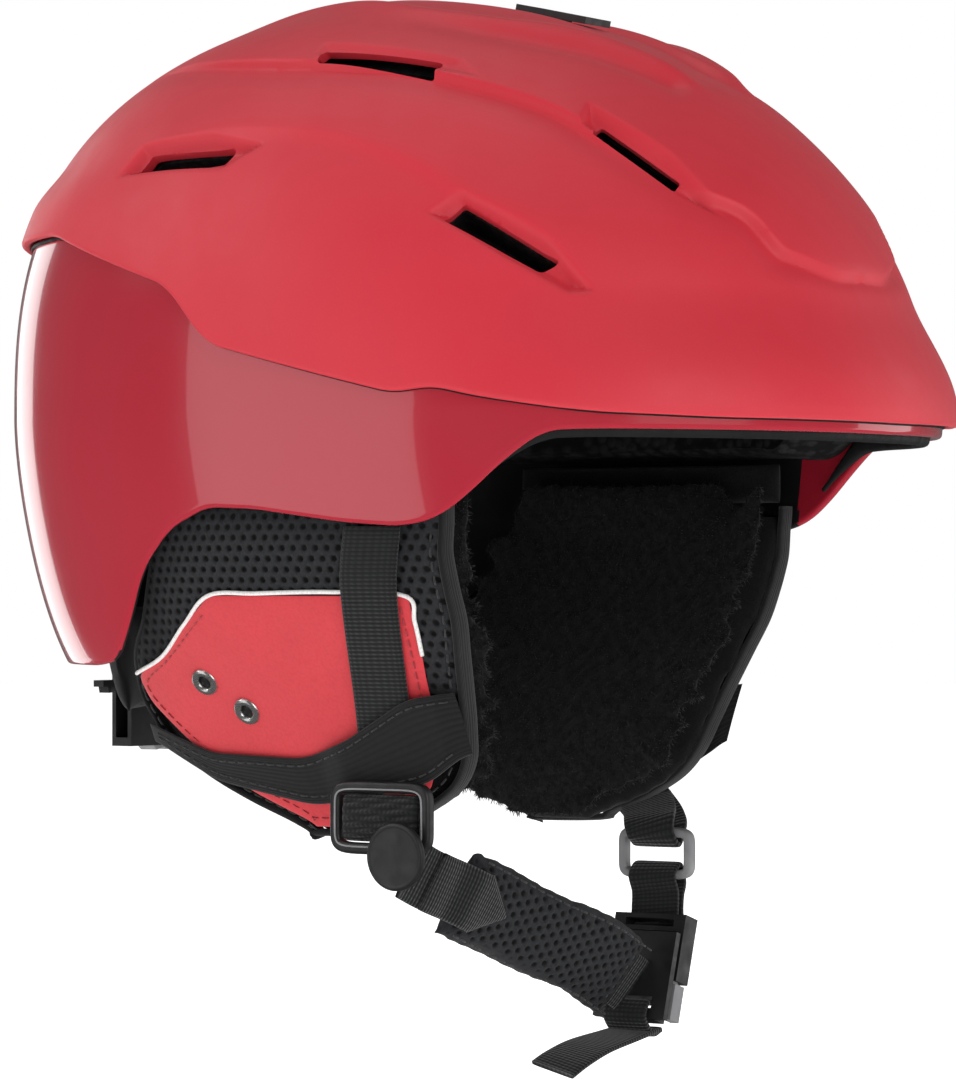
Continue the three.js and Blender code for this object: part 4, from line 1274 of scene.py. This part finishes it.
def make_ear_tab(side, word):
    y = lerp(-49, 43, spread(40))[None, :]
    z = lerp(-11.5, EAR_HINGE_Z + 1, spread(10))[:, None]
    shape = pillow(ear_point(side, y, z, -2), ear_point(side, y, z, -EAR_PAD_THICK + 0.6), 5)
    tab = new_object(f"ear_tab_{word}_cloth", shape)
    face_out(tab)
    refine(tab, 1)
    settle(tab, "pad_fabric", "ear_tab_" + word)


def panel_lift(y, z):
    """The panel's soft dips where its parts are sewn down, in millimetres."""
    dip = np.exp(-(((y - 34) / 16) ** 2 + ((z + 79) / 10) ** 2))
    return 0.9 - 0.5 * dip + 0.35 * np.sin(y * 0.11 + 1) * np.sin(z * 0.13)


def make_panel(side, word):
    """The coated panel, its white piping along the top, its stitching and two eyelets."""
    body = "ear_flap_" + word
    y, z = outline_grid(PANEL_ROWS, 0, spread(60), spread(80), soft=2.2)
    face = ear_point(side, y, z, panel_lift(y, z) + 0.9)
    shape = pillow(face, ear_point(side, y, z, 0.45), 14)
    add(f"ear_panel_{word}_leather", shape, "red_panel", "ear_panel_" + word)

    corners = [(rear, height, 0) for height, _, rear in reversed(PANEL_ROWS[:4])]
    corners += [(10, -49.4, 0), (-14, -49, 0), (-37, -50, 0), (-37.6, -57, 0), (-36.4, -66, 0)]
    y, z, _ = spline(corners, 160).T
    piping = cord_shape(ear_point(side, y, z, 1.5), 0.6)
    add("panel_piping_" + word, piping, "white_piping", body=body)

    y, z = outline_loop(PANEL_ROWS, 2.4, 200, top=-52.2)
    path = ear_point(side, y, z, panel_lift(y, z) + 0.85)
    sew("panel_seam_" + word, path, [side, 0, -0.4], "red_thread", body, "red_panel", 2.2, 1.2, 0.22)

    for end, y, z in (("rear", 40, -74), ("front", 28, -82)):
        slope = (ear_x(y, z + 1) - ear_x(y, z - 1)) / 2
        axis = unit([side, 0, -slope])
        place = ear_point(side, y, z, panel_lift(y, z) + 1.1)
        node = f"eyelet_{word}_{end}"
        add(node + "_ring", closed_ring(EYELET_RING, place, axis), "eyelet_metal", node)
        hole = lathe(EYELET_HOLE, place, axis)
        add(node + "_hole", hole, "black_plastic", body=body, slot="pad_fabric")


def closed_ring(profile, centre, axis, sides=48):
    """A turned ring whose profile closes on itself."""
    points, _ = lathe(profile, centre, axis, sides)
    rows = len(profile)
    quads = grid_faces(rows, sides, wrap=True)
    j = np.arange(sides)
    last = (rows - 1) * sides
    join = np.stack([last + j, j, (j + 1) % sides, last + (j + 1) % sides], axis=1)
    return points, np.concatenate([quads, join])


def skin_strap(name, y, z, side, low, high, look, *nodes, power=16):
    """A flat strap that lies on the ear pad: y, z, low and high are grids."""
    shape = pillow(ear_point(side, y, z, high), ear_point(side, y, z, low), power)
    piece = add(name, shape, look, *nodes)
    run = run_along(np.stack([y[:, 0], z[:, 0]], axis=1))
    width = np.hypot(y[:, -1] - y[:, 0], z[:, -1] - z[:, 0]).mean()
    pillow_uv(piece, width * np.linspace(0, 1, y.shape[1])[None, :], run[:, None])


def band_rise(y):
    """How much further out the band lies where it crosses the side strap."""
    return smoothstep(y, -46, -36) * (1 - smoothstep(y, -4, 8)) * 2.2


def make_ear_straps(side, word):
    z = lerp(-31.5, -99, spread(70))[:, None]
    line = along([(-height, y) for height, y in STRAP_LINE], -z, 5)
    y = line + (spread(16)[None, :] - 0.5) * WEB_WIDTH
    z = z + 0 * y
    low = lerp(0.65, 2.1, smoothstep(-z, 34, 48))
    skin_strap(f"side_strap_{word}_web", y, z, side, low, low + 1.7, "webbing", "side_strap_" + word)

    y = lerp(70, -43, spread(110))[:, None]
    z = lerp(along(BAND_TOP, y, 4), along(BAND_BOTTOM, y, 4), spread(18)[None, :])
    y = y + 0 * z
    low = 2.1 + band_rise(y)
    name = f"ear_band_{word}_elastic"
    skin_strap(name, y, z, side, low, low + 1.3, "elastic", "ear_band_" + word)

    y = np.linspace(68, -41, 160)
    for edge, sign, place in ((BAND_TOP, -1, "top"), (BAND_BOTTOM, 1, "low")):
        path = ear_point(side, y, along(edge, y, 4) + sign * 2.2, 3.45 + band_rise(y))
        name, body = f"band_seam_{place}_{word}", "ear_flap_" + word
        sew(name, path, [side, 0, -0.5], "black_thread", body, "elastic", 2.4, 1.2, 0.22)


# ---- dividers, chin strap and buckle ----
def tilted(points, degrees, place):
    """Points turned about Y, their top going outwards, and set down at a place."""
    c, s = math.cos(math.radians(degrees)), math.sin(math.radians(degrees))
    x, y, z = np.asarray(points, float).T
    return np.stack([c * x + s * z, y, c * z - s * x], axis=1) + place


def frame_loop(place, width, height, bar, thick):
    """A rounded rectangular loop standing across X."""
    turn = circle(96)
    flat = np.stack([np.cos(turn), np.sin(turn)], axis=1)
    flat = np.sign(flat) * np.abs(flat) ** (2 / 7) * (np.array([width, height]) - bar) / 2
    path = np.column_stack([np.zeros(len(turn)), flat]) + place
    across, normal = frames_along(path, [1, 0, 0], [1, 0, 0], closed=True)
    return sweep(path, across, normal, oval(thick, bar, 20, 3.4), closed=True)


def make_right_divider():
    shape = frame_loop(DIVIDER_PLACE, 33, 20, 3.2, 3.6)
    add("divider_loop_right_frame", shape, "black_plastic", "divider_loop_right")
    # A thin grey loop along the frame's outer edge: a painted highlight where light catches the frame's
    # rim.
    shape = frame_loop(DIVIDER_PLACE + [-1.9, 0, 0], 29.2, 16.2, 0.5, 0.5)
    add("divider_rim_highlight_right", shape, "grey_plastic", body="ear_flap_right", slot="black_plastic")

    # The webbing folded round the frame's middle, with its ribs.
    sides, columns = 72, 60
    turn = circle(sides)[:, None]
    y = spread(columns)[None, :] * 25.2 - 12.6
    x = 0.3 - np.sin(turn) * 2.5 + 0 * y
    z = np.cos(turn) * 6.5 + 0 * y
    ribs = 0.35 * np.cos(2 * math.pi * (z + 0.25 * y) / 2.7) * (x < 0.3)
    shrink = (1 - np.abs(y / 12.7) ** 12) ** 0.5
    x, z = (x + ribs * np.sign(x - 0.3)) * shrink, z * lerp(0.9, 1, shrink)
    points = np.stack([x, y + 0 * x, z], axis=-1)
    last = (sides - 1) * columns
    faces = grid_faces(sides, columns).tolist()
    faces += [[j + 1, j, last + j, last + j + 1] for j in range(columns - 1)]
    faces.append([i * columns for i in range(sides)])
    faces.append([i * columns + columns - 1 for i in reversed(range(sides))])
    shape = points.reshape(-1, 3) + DIVIDER_PLACE, faces
    web = add("strap_fold_right_web", shape, "webbing", "strap_fold_right")
    measure_uv(web, points[..., 1].ravel(), np.repeat(np.arange(sides) * 0.35, columns))

    profile = [
        (0.1, -4.7), (7.6, -4.7), (8.9, -4.9), (9.25, -5.4), (9.25, -6.3), (8.95, -6.8), (8.3, -7),
        (8.0, -6.85), (7.7, -6.8), (0.1, -6.8),
    ]
    shape = lathe(profile, DIVIDER_PLACE + [0, -8.8, -10], [1, 0, 0], 72)
    add("divider_disc_turned", shape, "black_plastic", "divider_disc")


ALONG_Y = [0, 1, 0], [0, 1, 0]


def make_left_divider():
    shape = frame_loop(LEFT_DIVIDER_PLACE, 25, 15, 2.8, 3.4)
    add("divider_loop_left_frame", shape, "grey_plastic", "divider_loop_left")
    places = [
        (65.5, -13, -108.5), (62.6, -18, -111.6), (57.6, -25, -115.8), (53.2, -28.6, -119),
        (50.2, -29, -122.4), (47.2, -28.8, -119.6), (48.6, -27.5, -115.8), (54, -24, -112.8),
        (60, -19, -110),
    ]
    make_strap("strap_fold_left_web", places, ALONG_Y, 15.5, 1.9, "strap_fold_left", count=110)


def make_strap(name, places, widths, width, thick, *nodes, body=None, slot=None, count=60):
    """Webbing through the places. widths holds the direction of its width at its start and its end."""
    path = spline(places, count)
    section = oval(width, thick, WEB_SIDES, 7)
    shape = sweep(path, *frames_along(path, *widths), section)
    piece = add(name, shape, "webbing", *nodes, body=body, slot=slot)
    measure_uv(piece, np.tile(section[:, 0], count), np.repeat(run_along(path), WEB_SIDES))


CHIN_ROUTE = [
    (-65.4, -22, -124.6), (-57.5, -23, -127.9), (-45, -23.6, -131.8), (-30, -24.6, -137.2),
    (-10, -28, -145.2), (8, -31, -151.3), (22, -31.5, -157.5), (32.5, -31, -162),
]
CHIN_WIDTHS = [0.3, -0.3, 0.9], [-0.2, -0.4, 0.9]
CHIN_COUNT = 120


def make_chin_strap():
    make_strap("chin_webbing_web", CHIN_ROUTE, CHIN_WIDTHS, 17, 2.1, "chin_webbing", count=CHIN_COUNT)
    path = spline(CHIN_ROUTE, CHIN_COUNT)
    across, normal = frames_along(path, *CHIN_WIDTHS)
    front = -normal
    make_sleeve(path, across, front)

    # The webbing's folded end, which comes to a point over the sleeve.
    patch = slice(8, 8 + PATCH_COLUMNS)
    reach = np.linspace(0, 1, PATCH_COLUMNS)
    half = np.where(reach < 0.62, 8.6, 8.6 * (1 - (reach - 0.62) / 0.38) + 0.3)
    lift = lerp(1.4, 3.9, smoothstep(reach, 0.25, 0.55))[None, :, None]
    u = np.linspace(-1, 1, 17)[:, None] * half[None, :]
    middle = path[patch][None] + across[patch][None] * u[..., None]
    shape = pillow(middle + front[patch] * (lift + 1.3), middle + front[patch] * lift, 12)
    tip = add("chin_webbing_point", shape, "webbing", body="chin_strap")
    pillow_uv(tip, u, np.arange(PATCH_COLUMNS)[None, :])

    places = [(36.5, -31, -175), (26, -31, -176.2), (12, -30, -178.2), (2, -29, -181), (-4, -28, -183.6)]
    make_strap("strap_tail_web", places, ([0, 1, 0], [0, 1, 0.2]), 15, 1.5, "strap_tail")


def make_sleeve(path, across, front):
    """The padded mesh sleeve round the chin webbing, with a seam along each edge."""
    spacing = np.linalg.norm(path[1] - path[0])
    share = lerp(0.2, 0.97, spread(60))
    part = np.interp(share, np.linspace(0, 1, len(path)), np.arange(len(path)))
    lower, upper = np.floor(part).astype(int), np.ceil(part).astype(int)
    rest = (part - lower)[:, None]
    middle, wide, out = (lerp(v[lower], v[upper], rest) for v in (path, across, front))

    sheet = middle[None] + wide[None] * (2 * spread(20)[:, None, None] - 1) * 13.6
    shape = pillow(sheet + out[None] * 2.9, sheet - out[None] * 5.6, 5)
    pad = puff(new_object("chin_pad_sleeve", shape), 0.8, 2.2, levels=1)
    refine(pad, 1)
    points, normals = coordinates(pad) / MM, normals_of(pad)
    nearest = np.argmin(np.linalg.norm(points[:, None] - path[None], axis=2), axis=1)
    offset = points - path[nearest]
    v = np.sum(offset * across[nearest], axis=1)
    run = np.sum(offset * np.cross(across, front)[nearest], axis=1) + nearest * spacing
    flatness = np.abs(np.sum(normals * front[nearest], axis=1))
    hole = hexagons(run, v, MESH_PITCH) * smoothstep(flatness, 0.75, 0.95)
    set_coordinates(pad, (points - normals * 0.7 * smoothstep(hole, 0.05, 0.75)[:, None]) * MM)
    note(pad, "hole", hole)
    settle(pad, "spacer_mesh", "chin_pad", slot="pad_fabric")

    for edge, name in ((11.2, "top"), (-11.2, "low")):
        line = (middle + wide * edge + out * 3.3)[6:-6]
        name = "chin_seam_" + name
        sew(name, line, out[6:-6], "black_thread", "chin_strap", "pad_fabric", 2.4, 1.3, 0.25)


def make_buckle_webbing():
    """The socket's webbing: a loop round the left divider, folded through the socket's slot."""
    places = np.array([
        (3.2, 0.2, 12), (4.9, 0.5, 13.5), (3.6, 0.6, 17), (3.4, 1, 21), (4.2, 1.6, 25.6), (1.4, 2, 29.9),
        (-1.6, 1.8, 26), (0.6, 1.2, 21.4), (1.2, 0.8, 17), (1.4, 0.5, 14),
    ])
    places = tilted(places, BUCKLE_TILT, BUCKLE_PLACE)
    make_strap("buckle_webbing_loop", places, ALONG_Y, 15.5, 1.8, "buckle_webbing", count=110)

    places = np.array([(-3, 0, -12), (-6.4, 0, -13), (-6.9, 0, -17.4), (-1, 0, -20.5), (3, 0.2, -18.6)])
    places = tilted(places, BUCKLE_TILT, BUCKLE_PLACE)
    make_strap("strap_wrap", places, ALONG_Y, 14, 1.8, body="chin_strap", slot="webbing")


FRAME_LOOKS = {
    "black_plastic": (
        "slider_button", "vent_shutter", "fit_housing", "fit_yoke", "fit_pinion", "fit_band_right",
        "fit_band_left", "goggle_base", "goggle_cap", "buckle_socket", "buckle_tongue",
    ),
    "grey_plastic": ("fit_dial", "goggle_stud", "buckle_tab_front", "buckle_tab_rear"),
    "elastic": ("goggle_strap",),
}


def finish_frame_nodes():
    """Rounded edges and finishes for the hard pieces that the frame already has."""
    for look, names in FRAME_LOOKS.items():
        for name in names:
            node = frame["nodes"][name]
            node.data.materials.clear()
            node.data.materials.append(LOOKS[look])
            bevel = node.modifiers.new("edges", "BEVEL")
            bevel.width = 0.4 * MM
            bevel.segments = 3
            bevel.limit_method = "ANGLE"
            bevel.angle_limit = math.radians(35)
            bevel.harden_normals = True


# ---- the photo's view and light ----
def set_camera():
    data = bpy.data.cameras.new("camera")
    camera = bpy.data.objects.new("camera", data)
    bpy.context.scene.collection.objects.link(camera)
    azimuth, elevation = math.radians(CAMERA_AZIMUTH), math.radians(CAMERA_ELEVATION)
    level = math.cos(elevation)
    towards = Vector((math.sin(azimuth) * level, -math.cos(azimuth) * level, math.sin(elevation)))
    camera.location = Vector(CAMERA_AIM) + towards * CAMERA_DISTANCE
    camera.rotation_euler = towards.to_track_quat("Z", "Y").to_euler()
    data.lens = CAMERA_LENS
    data.sensor_width = 36
    data.clip_end = 50
    bpy.context.scene.camera = camera


def softbox(name, place, size, power, tall=None):
    """A square or upright lamp that faces the helmet."""
    data = bpy.data.lights.new(name, "AREA")
    data.shape = "RECTANGLE"
    data.size = size
    data.size_y = tall or size
    data.energy = power
    lamp = bpy.data.objects.new(name, data)
    lamp.location = place
    lamp.rotation_euler = (Vector(place) - Vector((0, 0, -0.02))).to_track_quat("Z", "Y").to_euler()
    bpy.context.scene.collection.objects.link(lamp)


def set_light():
    """Six softboxes, and a world that is white to the camera and dim to everything else."""
    softbox("key_rear_right", (-1.5, 0.75, 0.1), 1.1, 6, tall=1.9)
    softbox("wash_rear", (-1.2, 1.9, 1.2), 0.7, 9)
    softbox("top", (-0.3, 0.3, 1.9), 2.2, 16)
    softbox("fill_front", (-0.9, -2.0, 0.5), 1.6, 18)
    softbox("edge_rear", (0.7, 1.9, 0.1), 0.8, 8, tall=1.8)
    softbox("edge_front", (1.6, -1.2, 0.1), 1.0, 7, tall=1.8)

    scene = bpy.context.scene
    scene.world = bpy.data.worlds.new("studio")
    scene.world.use_nodes = True
    nodes, links = scene.world.node_tree.nodes, scene.world.node_tree.links
    nodes.clear()
    output = nodes.new("ShaderNodeOutputWorld")
    mix = nodes.new("ShaderNodeMixShader")
    path = nodes.new("ShaderNodeLightPath")
    links.new(path.outputs["Is Camera Ray"], mix.inputs[0])
    for socket, strength in ((1, 0.13), (2, 1)):
        background = nodes.new("ShaderNodeBackground")
        background.inputs["Color"].default_value = (1, 1, 1, 1)
        background.inputs["Strength"].default_value = strength
        links.new(background.outputs[0], mix.inputs[socket])
    links.new(mix.outputs[0], output.inputs["Surface"])
    scene.view_settings.view_transform = "Standard"
    scene.view_settings.look = "None"


def set_floor():
    """A white floor that glossy surfaces don't mirror."""
    mesh = bpy.data.meshes.new("floor")
    rim = [(6 * math.cos(t), 6 * math.sin(t), -0.2) for t in circle(96)]
    mesh.from_pydata(rim, [], [list(range(96))])
    floor = bpy.data.objects.new("floor", mesh)
    bpy.context.scene.collection.objects.link(floor)
    look = Look("floor", (0.9, 0.9, 0.9, 1), 0.9)
    look.mottle((400, 2), 0.3, 0.7, 0.1, (0.85, 0.85, 0.85, 1))
    look.shader.inputs["Emission Color"].default_value = (1, 1, 1, 1)
    look.shader.inputs["Emission Strength"].default_value = 0.97
    mesh.materials.append(look.material)
    floor.visible_glossy = False


make_shells()
make_liner()
make_comfort_pads()
make_brim_trim()
make_nape_pad()
make_ear_pads()
for side, word in ((-1, "right"), (1, "left")):
    make_spacer_field(side, word)
    make_bindings(side, word)
    make_ear_tab(side, word)
    make_panel(side, word)
    make_ear_straps(side, word)
make_right_divider()
make_left_divider()
make_chin_strap()
make_buckle_webbing()
finish_frame_nodes()
set_camera()
set_light()
set_floor()
